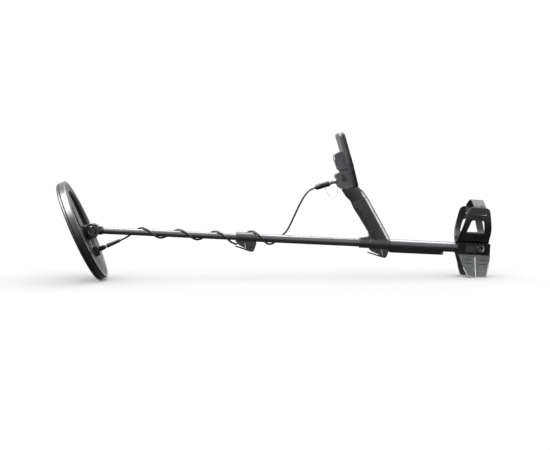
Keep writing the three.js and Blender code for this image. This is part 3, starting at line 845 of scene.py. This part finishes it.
def keep(finish: Finish, *nodes: str) -> None:
    """Dresses CAD nodes whose shape stays as it is."""
    for node in nodes:
        dress(frame["nodes"][node], finish)
        LOG.info("%s keeps its CAD shape", node)


@dataclass(frozen=True)
class Screw:
    """A pan-head screw with a socket, its head standing out along +Z."""

    radius: float = 3.0
    height: float = 1.4

    def build(self, name: str, like: str, place: Place, at: Point, axis: Axis, out: float) -> None:
        """Makes one screw.

        Args:
            name: the piece's name.
            like: the CAD node that it is screwed into.
            place: the frame of at.
            at: the middle of its head's underside.
            axis: the axis that it lies along.
            out: 1 if the head faces along the axis, or -1 against it.
        """
        r, h = self.radius, self.height
        head = [(-1.5, r * 0.5), (0, r * 0.5), (0, r), (h * 0.5, r), (h * 0.85, r * 0.85), (h, r * 0.6),
                (h, r * 0.42), (h * 0.35, r * 0.38), (h * 0.3, r * 0.02)]
        sections = [(z * out, radius) for z, radius in head]
        deliver(turned(name, sections, place, at, axis, 24), STEEL, like)


# ---------- search coil ----------


@dataclass(frozen=True)
class SearchCoil:
    """The coil's moulded housing and skid plate, its hinge, and the gland that its cable leaves by."""

    rim_centre: Point = (-10.5, 0.0, 0.0)
    rim_radius: float = 140.0
    gland: Point = (54.5, 20.0, 0.0)
    gland_top: float = 11.0
    relief_top: float = 53.0
    relief_ribs: int = 7
    knob_face: float = -30.0

    def strain_relief(self) -> None:
        """The relief: a slim neck at the gland, then a stout ribbed barrel that ends in a step."""
        foot = self.gland_top + 0.2
        barrel = foot + 3.8
        sections = [(foot, 3.2), (barrel, 3.2), (barrel, 5.4), (barrel + 0.6, 6.0), (barrel + 6, 5.9)]
        pitch = (self.relief_top - barrel - 12) / self.relief_ribs
        for i in range(self.relief_ribs):
            low = barrel + 6 + pitch * i
            rib = 5.8 - 0.9 * i / (self.relief_ribs - 1)
            sections += [(low + 0.3, rib - 0.5), (low + pitch * 0.4, rib - 0.5),
                         (low + pitch * 0.5, rib), (low + pitch * 0.95, rib - 0.1)]
        sections += [(self.relief_top - 5, 4.7), (self.relief_top - 0.8, 4.5), (self.relief_top, 3.7)]
        relief = turned("strain_relief_ribbed", sections, COIL, self.gland, sides=32)
        deliver(relief, RUBBER, "strain_relief", instead=True)

    def gland_parts(self) -> None:
        """The gland's hexagon, and the paler ring round the relief's neck."""
        mould("cable_gland", NYLON, 0.5)
        top = self.gland_top
        ring = [(top + 0.4, 3.3), (top + 0.4, 4.4), (top + 2, 4.7), (top + 3.5, 4.4), (top + 3.5, 3.3),
                (top + 0.4, 3.3)]
        deliver(turned("gland_neck_ring", ring, COIL, self.gland, sides=40), NECK, "cable_gland")

    def knob_cap(self) -> None:
        """The dished cap in the middle of the hinge's knob."""
        face = self.knob_face
        cap = [(face + 2, 12.5), (face - 0.3, 12.2), (face - 0.9, 11.2), (face - 0.5, 9.2), (face + 0.1, 7.5),
               (face + 0.2, 0.4)]
        deliver(turned("hinge_knob_cap", cap, COIL, axis=Axis.Y, sides=56), GLOSS, "hinge_knob")

    def rim(self) -> None:
        """The rim's polished band, the dark groove under it, and two beads round the upper face."""
        r = self.rim_radius
        band = [(-29.6, r - 3), (-29.6, r + 0.3), (-16.4, r + 0.3), (-15.2, r - 0.7), (-15.0, r - 7),
                (-17, r - 8), (-29.6, r - 3)]
        groove = [(-32.8, r - 1), (-32.8, r + 0.12), (-30.0, r + 0.12), (-30.0, r - 1), (-32.8, r - 1)]
        rings = {"rim_band": (band, RIM), "rim_groove": (groove, MATT)}
        for name, radius in (("inner", r - 24), ("outer", r - 12)):
            bead = [(-15.8, radius - 0.9), (-14.9, radius - 0.5), (-14.9, radius + 0.5),
                    (-15.8, radius + 0.9), (-15.8, radius - 0.9)]
            rings[f"bead_{name}"] = (bead, RIM)
        for name, (sections, finish) in rings.items():
            ring = turned(f"coil_{name}", sections, COIL, self.rim_centre, sides=160)
            deliver(ring, finish, "coil_housing")

    def build(self) -> None:
        """Makes the coil."""
        mould("coil_housing", COIL_ABS, 0.9, 3)
        self.rim()
        mould("skid_plate", SKID, 0.5)
        self.gland_parts()
        self.strain_relief()
        mould("hinge_bolt", NYLON, 0.6)
        mould("hinge_knob", GLOSS, 1.3, 3, 50)
        self.knob_cap()
        for side in ("left", "right"):
            mould(f"hinge_washer_{side}", RUBBER, 0.3)
        keep(COPPER, "transmit_winding", "receive_winding")


# ---------- telescopic shaft ----------


@dataclass(frozen=True)
class Telescope:
    """The rod, the middle tube and the upper tube, each in the next, with their cam locks."""

    rod: Point = (31.0, 560.0, 9.0, 7.5)
    middle: Point = (392.0, 860.0, 11.0, 9.4)
    upper: Point = (776.0, 1086.0, 14.0, 12.0)
    chamfer: float = 0.5

    def tube(self, node: str, size: Point, sides: int = 96) -> None:
        """One tube, with its ends' edges broken.

        Args:
            node: the CAD node.
            size: where it starts, where it ends, its outer radius and its bore's.
            sides: the number of sides.
        """
        low, high, r, bore = size
        c = self.chamfer
        wall = [(low, bore), (low, r - c), (low + c, r), (high - c, r), (high, r - c), (high, bore),
                (low, bore)]
        tube = turned(f"{node}_drawn", wall, SHAFT, axis=Axis.X, sides=sides)
        deliver(tube, TUBE, node, instead=True)

    def lock_glints(self) -> None:
        """A raised rib down each side of the front lock's block and the rear one's, pale as a painted
        highlight.
        """
        for name, node, at in (("front", "front_lock_collar", 412.0), ("rear", "handle_left", 788.4)):
            rib = [(at, -14, 0.4), (at + 1.5, -14, 0.4), (at + 5.4, -31, 0.4), (at + 3.9, -31, 0.4)]
            deliver(soften(plate(f"{name}_lock_rib", rib, -11.3, -10.2), 0.4), EDGE, node)

    def end_cap(self) -> None:
        """The rubber cap at the rear end, with a domed face."""
        _, end, r, bore = self.upper
        cap = [(end - 9, bore - 1), (end + 0.4, bore - 0.4), (end + 0.4, r), (end + 2.8, r),
               (end + 3.6, r - 1.2), (end + 4, r - 5), (end + 4.1, 0.4)]
        domed = turned("shaft_end_cap_domed", cap, SHAFT, axis=Axis.X)
        deliver(domed, RUBBER, "shaft_end_cap", instead=True)

    def build(self) -> None:
        """Makes the shaft."""
        self.tube("lower_rod", self.rod)
        self.tube("middle_tube", self.middle)
        mould("rod_yoke", NYLON, 0.6)
        mould("front_lock_collar", SHELL, 0.6)
        mould("front_lock_lever", MATT, 0.4)
        mould("rear_lock_lever", MATT, 0.4)
        self.lock_glints()
        self.end_cap()
        keep(TUBE, "upper_tube")
        keep(NYLON, "rod_guide_bush", "middle_guide_bush")
        keep(OXIDE, "front_lock_pin", "rear_lock_pin")


# ---------- handle ----------


@dataclass(frozen=True)
class Handle:
    """The handle's two shells, the soft grip over them and the battery tray behind it."""

    back: Route = (
        (727.2, 144.6), (732.8, 137.2), (741.2, 126.8), (750.2, 113.4), (761.2, 95.6), (778.2, 68.8),
        (798.2, 36.0), (807.8, 20.5), (810.5, 16.0),
    )
    strip_half: float = 9.0
    strip_thick: float = 6.2
    blade_thick: float = 2.2
    tray_end: float = 961.0
    screw_places: Route = ((803.0, 14.8, 22.0), (790.0, 10.4, -15.0), (676.0, 19.6, 158.0))

    def back_line(self) -> list[Vector]:
        """The line of the grip's back, from under the box to the tube."""
        return [Vector(p) for p in smooth_line(self.back, 5)]

    def rebate(self, obj: Object) -> None:
        """Cuts the seat of the pale strip of painted highlight into a piece's back.

        Args:
            obj: the piece.
        """
        line = self.back_line()
        depth = self.strip_thick + self.blade_thick
        outline = [*offset_line(line, 4.0), *reversed(offset_line(line, -depth))]
        carve(obj, plate("seat", [tuple(p) for p in outline], -25, 25))

    def grip(self) -> None:
        """The rubber overmould: the sleeve remeshed finely and relaxed, as a soft moulding is."""
        grip = fetch("grip_sleeve", "grip_sleeve_overmould")
        self.rebate(grip)
        modify(grip, "REMESH", mode="VOXEL", voxel_size=1.3 * MM, use_smooth_shade=True)
        modify(grip, "SMOOTH", factor=0.5, iterations=5)
        deliver(grip, GRIP, "grip_sleeve", instead=True)

    def shells(self) -> None:
        """The two shells, rebated down the back."""
        for side in ("left", "right"):
            shell = fetch(f"handle_{side}", f"handle_{side}_finished")
            self.rebate(shell)
            deliver(soften(shell, 0.6), SHELL, f"handle_{side}", instead=True)

    def back_trim(self) -> None:
        """The trim down the back: a pale strip of painted highlight, where the rounded back catches the
        light, under a thin polished blade, with a tie near its top.
        """
        line = self.back_line()
        half = self.strip_half
        seat = offset_line(line, -self.blade_thick)
        strip = ribbon("handle_trim_strip", seat, -half, half, -self.strip_thick, Axis.Y)
        deliver(soften(strip, 0.7, 3), TRIM_PAINTED_HIGHLIGHT, "handle_left")
        blade = ribbon("handle_trim_blade", line, -half - 0.8, half + 0.8, -self.blade_thick, Axis.Y)
        deliver(soften(blade, 0.3), MATT, "handle_left")
        tie = [(739.6, 129.3), (740.9, 127.7), (734.0, 122.2), (732.9, 123.9)]
        bar = plate("handle_trim_tie", tie, -half - 0.5, half + 0.5)
        deliver(soften(bar, 0.3), MATT, "handle_left")

    def foot_ribs(self) -> None:
        """Fine ribs across the front of the grip's foot."""
        rib = [(750.5, 27.6, 0.3), (756.0, 27.6, 0.3), (756.0, 28.7, 0.3), (750.5, 28.7, 0.3)]
        ribs = plate("grip_foot_ribs", rib, -9, 9)
        modify(
            ribs, "ARRAY", count=4, use_relative_offset=False, use_constant_offset=True,
            constant_offset_displace=SHAFT.at(1.1, 0, -2.3) - SHAFT.at(0, 0, 0),
        )
        deliver(soften(ribs, 0), SHELL, "handle_left")

    def screws(self) -> None:
        """The screws that hold the two shells together, in the right-hand one."""
        for i, at in enumerate(self.screw_places):
            Screw(2.6, 1.0).build(f"handle_screw_{i}", "handle_right", SHAFT, at, Axis.Y, 1)

    def battery(self) -> None:
        """The tray under the upper tube, with the bright contact clip at its rear end."""
        mould("battery_tray", MATT, 0.6)
        end = self.tray_end
        clip = [(end - 5, -15.6, 0.4), (end + 1.2, -15.6, 0.8), (end + 1.2, -21.2, 1.2),
                (end - 5, -21.2, 0.4)]
        deliver(soften(plate("battery_clip", clip, -12.4, 12.4), 0.4), STEEL, "battery_tray")
        keep(WRAP, "battery_cell")

    def build(self) -> None:
        """Makes the handle."""
        self.shells()
        self.grip()
        self.back_trim()
        self.foot_ribs()
        self.screws()
        self.battery()
        keep(JACKET, "handle_loom")


# ---------- control box ----------


class Mark(Enum):
    """The shape printed on a key."""

    UP = ((-2.2, -1.2), (2.2, -1.2), (0.0, 1.9))
    DOWN = ((-2.2, 1.2), (2.2, 1.2), (0.0, -1.9))
    LEFT = ((1.2, -2.2), (1.2, 2.2), (-1.9, 0.0))
    RIGHT = ((-1.2, -2.2), (-1.2, 2.2), (1.9, 0.0))
    DOT = ((-1.5, 0.0), (0.0, -1.5), (1.5, 0.0), (0.0, 1.5))
    BAR = ((-2.4, -0.5), (2.4, -0.5), (2.4, 0.5), (-2.4, 0.5))


@dataclass(frozen=True)
class ControlBox:
    """The control box: its two cases, the window and keys on the user's face, and the plug behind it."""

    key_top: float = 1.2
    marks: tuple[tuple[str, Mark, float, float], ...] = (
        ("key_up", Mark.UP, 0, 52), ("key_down", Mark.DOWN, 0, 22), ("key_left", Mark.LEFT, -16, 37),
        ("key_right", Mark.RIGHT, 16, 37), ("key_select", Mark.DOT, 0, 37),
        ("key_pinpoint", Mark.DOT, -27, 57), ("key_menu", Mark.BAR, 27, 57), ("key_power", Mark.BAR, 0, 8.5),
    )
    socket: Point = (0.0, 0.0, 24.3)
    torch: Point = (0.0, 0.0, 78.0)
    screw_places: Route = ((-16, -34, 139), (-16, 34, 139), (-16, -33, 66), (-16, 33, 66))
    nut: tuple[float, float] = (-73.5, -56.4)
    nut_radius: float = 6.8
    nut_waist: float = 4.4
    teeth: int = 32
    plug: tuple[float, float] = (-117.0, -73.6)
    plug_radius: float = 7.9

    def cases(self) -> None:
        """The front and rear cases, their screws, the web under the torch's pod and the torch's bezel."""
        mould("display_front_case", SHELL, 0.5)
        # The rear case and the pod's web are paler: painted light on the side that faces the key light.
        mould("display_rear_case", CASE_PAINTED_LIGHT, 0.7)
        for i, at in enumerate(self.screw_places):
            Screw(2.4, 1.0).build(f"case_screw_{i}", "display_rear_case", BOX, at, Axis.X, -1)
        web = [(-37, 44), (-38, 57, 3), (-33, 66), (-16, 66), (-16, 42), (-30, 42)]
        bridge = soften(plate("torch_pod_web", web, -15, 15, Axis.Y, BOX), 1.6, 3)
        deliver(bridge, CASE_PAINTED_LIGHT, "display_rear_case")
        bezel = [(-41.6, 9.0), (-43.0, 9.0), (-43.0, 11.8), (-41.6, 12.6), (-40.6, 12.6), (-40.6, 9.0),
                 (-41.6, 9.0)]
        deliver(turned("torch_bezel", bezel, BOX, self.torch, Axis.X, 56), GLOSS, "display_rear_case")

    def keys(self) -> None:
        """The rubber keys, each with a printed mark."""
        for node, mark, y, z in self.marks:
            mould(node, RUBBER, 0.6, 3)
            outline = [(y + a, z + b) for a, b in mark.value]
            printed = plate(f"{node}_mark", outline, self.key_top - 0.05, self.key_top + 0.12, Axis.X, BOX)
            deliver(printed, MARK, node)

    def coupling_nut(self) -> None:
        """The plug's nut: two plain lips, and fine ridges for the fingers between them."""
        low, high = self.nut
        r, waist = self.nut_radius, self.nut_waist
        lips = [(low, 3.6), (low, r), (low + 1.2, r), (low + 1.8, waist), (high - 3.6, waist),
                (high - 3, r - 1), (high - 0.4, r - 1), (high, r - 1.4), (high, 3.6), (low, 3.6)]
        nut = turned("plug_nut_turned", lips, BOX, self.socket, Axis.X, 64)
        deliver(nut, STEEL, "plug_nut", instead=True)
        _, y, z = self.socket
        tooth = [(y - 0.24, z + waist - 0.3), (y + 0.24, z + waist - 0.3), (y, z + waist + 0.35)]
        knurl = plate("plug_nut_knurl", tooth, low + 2.4, high - 4.2, Axis.X, BOX)
        centre = BOX.at(*self.socket)
        step = Matrix.Rotation(math.tau / self.teeth, 4, BOX.at(1, 0, 0) - BOX.at(0, 0, 0))
        guide = add_object("guide", None)
        guide.matrix_world = Matrix.Translation(centre) @ step @ Matrix.Translation(-centre)
        modify(
            knurl, "ARRAY", count=self.teeth, use_relative_offset=False, use_constant_offset=False,
            use_object_offset=True, offset_object=guide,
        )
        bpy.data.objects.remove(guide)
        deliver(knurl, STEEL, "plug_nut")

    def plug_parts(self) -> None:
        """The plug's stout overmould, ringed for the fingers and blunt at both ends."""
        low, high = self.plug
        r = self.plug_radius
        sections = [(high, 3.4), (high, r - 0.6), (high - 1, r)]
        for i in range(6):
            z = high - 8 - 3 * i
            sections += [(z, r - 0.1), (z - 0.5, r - 0.7), (z - 1.3, r - 0.7), (z - 1.8, r - 0.1)]
        sections += [(high - 36, r - 0.3), (high - 38.4, r - 1.4), (high - 38.8, 4.2), (low + 0.5, 3.8),
                     (low, 2.7)]
        body = turned("plug_body_overmould", sections, BOX, self.socket, Axis.X)
        deliver(body, JACKET, "plug_body", instead=True)

    def build(self) -> None:
        """Makes the box."""
        self.cases()
        self.keys()
        mould("display_lens", WINDOW, 0.2)
        mould("coil_socket", NICKEL, 0.4)
        mould("port_cap", RUBBER, 0.5, 3)
        self.coupling_nut()
        self.plug_parts()
        inner = {"lcd_panel": CELL, "circuit_board": LAMINATE, "case_seal": FOAM, "speaker": NYLON,
                 "torch_lens": CLEAR}
        for node, finish in inner.items():
            keep(finish, node)


# ---------- armrest ----------


@dataclass(frozen=True)
class StandHalf:
    """A half of the stand: the dark clamp round the tube and the paler leg under it.

    side is -1 for the left half and 1 for the right one.
    """

    name: str
    side: int
    leg: Route = ((20.5, -19), (24, -30), (30.5, -52), (42.2, -77.5))
    split: float = -17.5
    ridge: Point = (1047.2, 1049.8)
    panel_depth: Point = (20.3, 22.2)
    rivet: Point = (1026.0, 20.6, 12.6)
    rivet_step: float = 11.0
    panel: Route = ((1020, 10.5, 4), (1073, 10.5, 4), (1073, -10.2, 4), (1020, -10.2, 4))
    lines: Route = (
        (1021.7, 1038.5, -31.2), (1021.7, 1038.5, -41.4), (1058.1, 1080.0, -31.2), (1058.1, 1078.0, -41.8),
    )
    foot_bead: Route = (
        (1015, -52), (1020, -63), (1023.5, -70), (1027, -74.6), (1034, -76.6), (1052, -77), (1068, -76.6),
        (1076, -74), (1080.5, -67), (1083.5, -54), (1086.5, -38),
    )

    def leg_y(self, z: float) -> float:
        """How far from the middle the leg's outer face is, at a height."""
        for (y0, z0), (y1, z1) in pairwise(self.leg):
            if z >= z1:
                break
        return y0 + (y1 - y0) * (z - z0) / (z1 - z0)

    def halves(self) -> None:
        """The leg and the clamp, cut from the CAD's solid along the line between them."""
        name, split = self.name, self.split
        lower = [(990, split), (1100, split), (1100, -20), (1079, -80.5, 9), (1026.5, -80.5, 7), (990, -20)]
        upper = [(1000.5, split), (1000.5, 15.5, 4), (1090.5, 15.5, 5), (1090.5, split)]
        for part, outline, finish in (("leg", lower, STAND), ("clamp", upper, MATT)):
            piece = fetch(name, f"{name}_{part}")
            low, high = sorted((self.side * 60.0, 0.0))
            carve(piece, plate("half", outline, low, high), operation="INTERSECT")
            deliver(soften(piece, 0.8, 3), finish, name, instead=part == "leg")

    def leg_trim(self) -> None:
        """The leg's raised ridge and the bead round its foot, pale as painted highlight, and its four pressed
        lines, dark strips of painted shade.
        """
        name, side = self.name, self.side
        line = [Vector((side * y, z)) for y, z in smooth_line(self.leg, 2)]
        # Painted highlight: the ridge and the foot's bead are pale, as their edges catch the light.
        ridge = ribbon(f"{name}_ridge", line, *self.ridge, side * 1.0, columns=3)
        deliver(soften(ridge, 0.5), EDGE, name)
        # Dark strips on the leg's face: painted shade for the pressed lines' grooves.
        for i, (start, end, z) in enumerate(self.lines):
            near, far = side * (self.leg_y(z) - 0.6), side * (self.leg_y(z) + 0.45)
            pressed = [(near, z + 0.8), (far, z + 0.7), (far, z - 0.7), (near, z - 0.8)]
            deliver(plate(f"{name}_line_{i}", pressed, start, end, Axis.X), NYLON, name)
        route = [(s, side * (self.leg_y(z) + 0.3), z) for s, z in self.foot_bead]
        bead = tube_along(f"{name}_bead", [SHAFT.at(*p) for p in smooth_line(route, 2)], 0.9)
        deliver(bead, EDGE, name)

    def clamp_trim(self) -> None:
        """The clamp's framed panel, and the rivets along its top edge."""
        name, side = self.name, self.side
        low, high = sorted(side * y for y in self.panel_depth)
        framed = plate(f"{name}_panel", self.panel, low, high)
        with editing(framed) as mesh:
            bpy.ops.mesh.select_mode(type="FACE")
            bpy.ops.mesh.select_all(action="DESELECT")
            for face in mesh.faces:
                if face.normal.y * side > 0.9:
                    face.select_set(True)
            bmesh.update_edit_mesh(framed.data)
            bpy.ops.mesh.inset(thickness=1.4 * MM)
            bpy.ops.transform.translate(value=(0, -side * 0.6 * MM, 0))
        deliver(soften(framed, 0.25), NYLON, name)
        s, y, z = self.rivet
        for i in range(5):
            at = (s + self.rivet_step * i, side * y, z)
            Screw(1.1, 0.6).build(f"{name}_rivet_{i}", name, SHAFT, at, Axis.Y, side)

    def build(self) -> None:
        """Makes the half."""
        self.halves()
        self.leg_trim()
        self.clamp_trim()


@dataclass(frozen=True)
class Armrest:
    """The cuff with its pad and strap, and the two halves of the stand clamped round the tube."""

    start: float = 997.0
    end: float = 1092.0
    bolt: float = 1062.0
    cuff_half: Route = (
        (0, 15.1), (12, 15.1), (15.5, 17.6), (20, 26), (31, 39), (40, 52), (45, 68), (47, 90), (47, 114),
    )
    wing: Route = (
        (997, 12), (997, 30, 8), (1017, 114, 13), (1075, 114, 13), (1085, 54, 20), (1087, 28, 6), (1087, 12),
    )
    window: Route = ((1027, 78, 5), (1061, 78, 5), (1067, 43, 3), (1016, 43, 3))
    slot: Route = ((1032, 93.6, 1), (1067.5, 93.6, 1), (1067.5, 96, 1), (1032, 96, 1))
    pad_half: Route = ((0, 19.2), (10.2, 19.2), (16.3, 28.7), (26.2, 40.3))
    strap: Route = (
        (49.5, 94.2), (45.5, 94.4), (42.6, 95.4), (42.4, 104), (42.2, 111), (40.2, 115.8), (33.5, 120.5),
        (22, 126), (11, 130.6), (0, 133.2),
    )
    strap_run: tuple[float, float] = (1031.5, 1065.0)

    def whole(self, half: Sequence[Point], spacing: float) -> list[Vector]:
        """A smooth line across both sides from half of its points.

        Args:
            half: the points from the middle outwards.
            spacing: about how far apart the line's points are.

        Returns:
            The line in (y, z), from -Y to +Y.
        """
        both = [(-y, z) for y, z in reversed(half[1:])] + [(y, z) for y, z in half]
        return smooth_line(both, spacing)

    def cuff(self) -> None:
        """The cuff: a smooth trough trimmed to its side outline, with a window and a strap slot."""
        line = self.whole(self.cuff_half, 3)
        trough = ribbon("armrest_cuff_trough", line, self.start - 4, self.end + 4, 4.0, columns=1)
        wing, window, slot = (plate("cutter", line, -70, 70) for line in (self.wing, self.window, self.slot))
        carve(trough, wing, operation="INTERSECT")
        carve(trough, window, slot)
        deliver(soften(trough, 0.8, 3, 40), NYLON, "armrest_cuff", instead=True)

    def cuff_trim(self) -> None:
        """A polished lip under each wing's strap slot."""
        for name, side in (("left", -1), ("right", 1)):
            lip = [(1030, 90.4, 0.8), (1067, 90.4, 0.8), (1067, 92.4, 0.8), (1030, 92.4, 0.8)]
            low, high = sorted((side * 46.9, side * 48.3))
            deliver(soften(plate(f"slot_lip_{name}", lip, low, high), 0.5), GLOSS, "armrest_cuff")

    def cuff_tab(self) -> None:
        """The small stop at the cuff's front edge, over the tube."""
        stop = [(995.6, 14.8, 0.6), (1001, 14.8, 0.6), (1001, 20.4, 1), (995.6, 20.4, 1)]
        deliver(soften(plate("armrest_cuff_stop", stop, -9, 9), 0.5), NYLON, "armrest_cuff")

    def pad(self) -> None:
        """The foam pad, a soft-edged sheet with three pressed grooves."""
        line = self.whole(self.pad_half, 2)
        pad = ribbon("armrest_pad_foam", line, self.start + 8, self.end - 6, 3.0, columns=26)
        deliver(soften(pad, 1.1, 4), FOAM, "armrest_pad", instead=True)

    def clamp_knob(self) -> None:
        """The knob on the clamp's bolt, with a dished cap and a pale arc of painted highlight on its rim."""
        mould("armrest_knob", NYLON, 0.7, 3, 50)
        cap = [(-25, 7.6), (-26.8, 7.4), (-27.3, 6.6), (-26.9, 4.8), (-26.6, 0.3)]
        deliver(turned("armrest_knob_cap", cap, SHAFT, (self.bolt, 0, 0), Axis.Y, 40), GLOSS, "armrest_knob")
        # Painted highlight: a pale arc round one side of the knob's rim.
        turns = [math.radians(-62 + 8 * i) for i in range(16)]
        arc = [SHAFT.at(self.bolt + 8.9 * math.cos(a), -26.6, 8.9 * math.sin(a)) for a in turns]
        deliver(tube_along("armrest_knob_glint", arc, 0.8), EDGE, "armrest_knob")
        mould("armrest_bolt", STEEL, 0.4)

    def arm_strap(self) -> None:
        """The woven strap over the arm, through both slots and out a little way."""
        line = self.whole(self.strap[::-1], 2.5)
        start, end = self.strap_run
        strap = soften(ribbon("arm_strap_woven", line, start, end, 1.5, columns=14), 0)
        deliver(strap, WOVEN, "arm_strap", instead=True)

    def build(self) -> None:
        """Makes the armrest."""
        self.cuff()
        self.cuff_trim()
        self.cuff_tab()
        self.pad()
        StandHalf("stand_left", -1).build()
        StandHalf("stand_right", 1).build()
        self.clamp_knob()
        self.arm_strap()


# ---------- cable ----------


@dataclass(frozen=True)
class CoilCable:
    """The coil's cable: its tail, the turns round the rod and the lead up to the plug."""

    radius: float = 2.6
    pitch: float = 99.0
    first_top: float = 136.0
    winding_radius: Route = (
        (100, 12.4), (355, 12.4), (384, 17.6), (391, 23), (396, 23.2), (404, 20.4), (412, 19.4),
        (431, 17.4), (446, 17.4), (470, 16), (520, 14.4),
    )
    tail_route: Route = (
        (75.6, 20, -25.6), (80, 20.2, -23.4), (86, 20, -20), (93, 18.6, -15.6), (100, 16, -10.5),
    )
    lead_route: Route = (
        (519, 10.6, 12.8), (525, 9, 20), (531, 7.8, 30), (537, 6.6, 44), (543.5, 5.6, 60), (551, 4.4, 79.5),
        (558.5, 3.2, 97.5), (566, 2, 113), (574, 1, 126.5), (583, 0.3, 136.8), (593.6, 0, 143.1),
    )
    tether_route: Route = (
        (-56, 0, 8.5), (-57.5, 0, 1), (-61, 0, -9), (-70, 0, -16.5), (-80, 0, -13), (-85.5, 0, -2),
        (-87, 0, 8), (-87.2, 0, 16.6),
    )

    def winding_point(self, s: float) -> Point:
        """The winding's point at a distance up the shaft."""
        for (s0, r0), (s1, r1) in pairwise(self.winding_radius):
            if s1 >= s:
                break
        r = r0 + (r1 - r0) * (s - s0) / (s1 - s0)
        angle = math.tau * (s - self.first_top) / self.pitch
        return (s, -r * math.sin(angle), r * math.cos(angle))

    def winding_run(self, low: float, high: float, count: int) -> list[Point]:
        """Points on the winding between two distances up the shaft."""
        return [self.winding_point(low + (high - low) * i / count) for i in range(count + 1)]

    def stretch(
        self, name: str, points: Sequence[Point], node: str, bodies: Sequence[str], ends: Sequence[Point],
        far_end: str, pieces: Sequence[str],
    ) -> None:
        """One stretch of the cable, as a cord from one body to the next.

        Args:
            name: the piece's name.
            points: its route in the shaft's frame.
            node: the CAD node that it stands for.
            bodies: the bodies at its ends, named in the log.
            ends: where it starts and stops, in the shaft's frame.
            far_end: what it ends in; not used.
            pieces: the pieces on it; not used.
        """
        line = [SHAFT.at(*p) for p in smooth_line(points, 2.0)]
        cable = tube_along(name, line, self.radius, 6)
        dress(cable, JACKET)
        SHAFT.at(*ends[0])
        SHAFT.at(*ends[1])
        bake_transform(cable)
        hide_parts(node)
        LOG.info("%s bends between %s and %s, %.0f mm long", name, *bodies, length_of(line) / MM)

    def tether(self) -> None:
        """The thin cord that hangs in a loop from the socket to the plug."""
        line = [BOX.at(*p) for p in smooth_line(self.tether_route, 1.5)]
        cord = tube_along("plug_tether_cord", line, 0.7, 4)
        deliver(cord, CORD, "plug_tether", instead=True)

    def build(self) -> None:
        """Makes the cable."""
        tail_end, lead_start = 140.0, 482.0
        stretches = (
            ("coil_cable_tail", [*self.tail_route, *self.winding_run(108, tail_end, 6)], "cable_tail",
             ("search_coil", "lower_shaft"), ((80, 20, -23), (124, 0, 0)), "object",
             ["strain_relief_ribbed"]),
            ("coil_cable_winding", self.winding_run(tail_end, lead_start, 60), "cable_winding",
             ("lower_shaft", "middle_shaft"), ((tail_end, 0, 0), (lead_start, 0, 0)), "object", []),
            ("coil_cable_lead", [*self.winding_run(lead_start, 512, 5), *self.lead_route], "cable_lead",
             ("middle_shaft", "main_shaft"), ((lead_start, 0, 0), (594, 0, 0)), "plug",
             ["plug_body_overmould", "plug_nut_turned", "plug_nut_knurl"]),
        )
        for row in stretches:
            self.stretch(*row)
        self.tether()


# ---------- studio ----------


@dataclass(frozen=True)
class Studio:
    """A plain pale floor, soft lights and the camera."""

    camera_at: Point = (-0.2233, -2.7684, 0.3167)
    camera_yaw: float = 4.5
    camera_drop: float = 3.54
    lens: float = 66.7
    sky_light: float = 1.06
    under_light: float = 0.12
    softboxes: tuple[tuple[str, Point, tuple[float, float], float], ...] = (
        ("key_softbox", (-1.3, -0.6, 1.6), (1.8, 0.9), 120),
        ("top_softbox", (0.1, 0.5, 1.9), (2.8, 1.3), 125),
    )

    def camera(self) -> None:
        """The camera, level with the object and a little to its left."""
        data = bpy.data.cameras.new("camera")
        data.lens = self.lens
        turn = (math.radians(90 - self.camera_drop), 0, -math.radians(self.camera_yaw))
        bpy.context.scene.camera = add_object("camera", data, self.camera_at, turn)

    def softbox(
        self, name: str, at: Point, size: tuple[float, float], watts: float, floor: Object
    ) -> None:
        """One rectangular light that faces the object and leaves the floor to the sky.

        Args:
            name: its name.
            at: where it is, in metres.
            size: its width and height, in metres.
            watts: its power.
            floor: the floor, which it doesn't light.
        """
        data = bpy.data.lights.new(name, "AREA")
        data.shape = "RECTANGLE"
        data.size, data.size_y = size
        data.energy = watts
        turn = (Vector((0, 0, 0.2)) - Vector(at)).to_track_quat("-Z", "Y").to_euler()
        obj = add_object(name, data, at, turn)
        spared = bpy.data.collections.new(f"{name}_spares")
        spared.objects.link(floor)
        spared.collection_objects[0].light_linking.link_state = "EXCLUDE"
        obj.light_linking.receiver_collection = spared

    def floor(self) -> Object:
        """The floor, white and matt; it throws no light back up, as over a black flag."""
        bpy.ops.object.select_all(action="DESELECT")
        bpy.ops.mesh.primitive_plane_add(size=60)
        obj = bpy.context.object
        obj.name = "floor"
        obj.visible_glossy = False
        obj.visible_diffuse = False
        paper = Finish("white_seamless_paper", "fdfdfd", "fbfbfb", 0.95, patch=400, relief=0.0)
        dress(obj, paper)
        return obj

    def sky(self) -> None:
        """Even white light from above the horizon and little from below it."""
        world = bpy.data.worlds.new("studio")
        bpy.context.scene.world = world
        world.use_nodes = True
        tree = world.node_tree
        up = add_node(tree, "SeparateXYZ", add_node(tree, "TexCoord").outputs["Generated"]).outputs["Z"]
        level = add_node(tree, "MapRange", up, From_Min=-0.12, From_Max=-0.025, To_Min=self.under_light)
        background = tree.nodes["Background"].inputs
        feed(tree, background["Color"], level)
        feed(tree, background["Strength"], self.sky_light)

    def build(self) -> None:
        """Makes the studio."""
        bpy.context.scene.view_settings.view_transform = "Standard"
        self.camera()
        floor = self.floor()
        for row in self.softboxes:
            self.softbox(*row, floor)
        self.sky()


def main() -> None:
    """Builds the studio, then each sub-assembly in turn."""
    logging.basicConfig(level=logging.INFO, format="%(message)s", stream=sys.stdout)
    for assembly in (Studio(), SearchCoil(), Telescope(), Handle(), ControlBox(), Armrest(), CoilCable()):
        assembly.build()


if __name__ == "__main__":
    main()
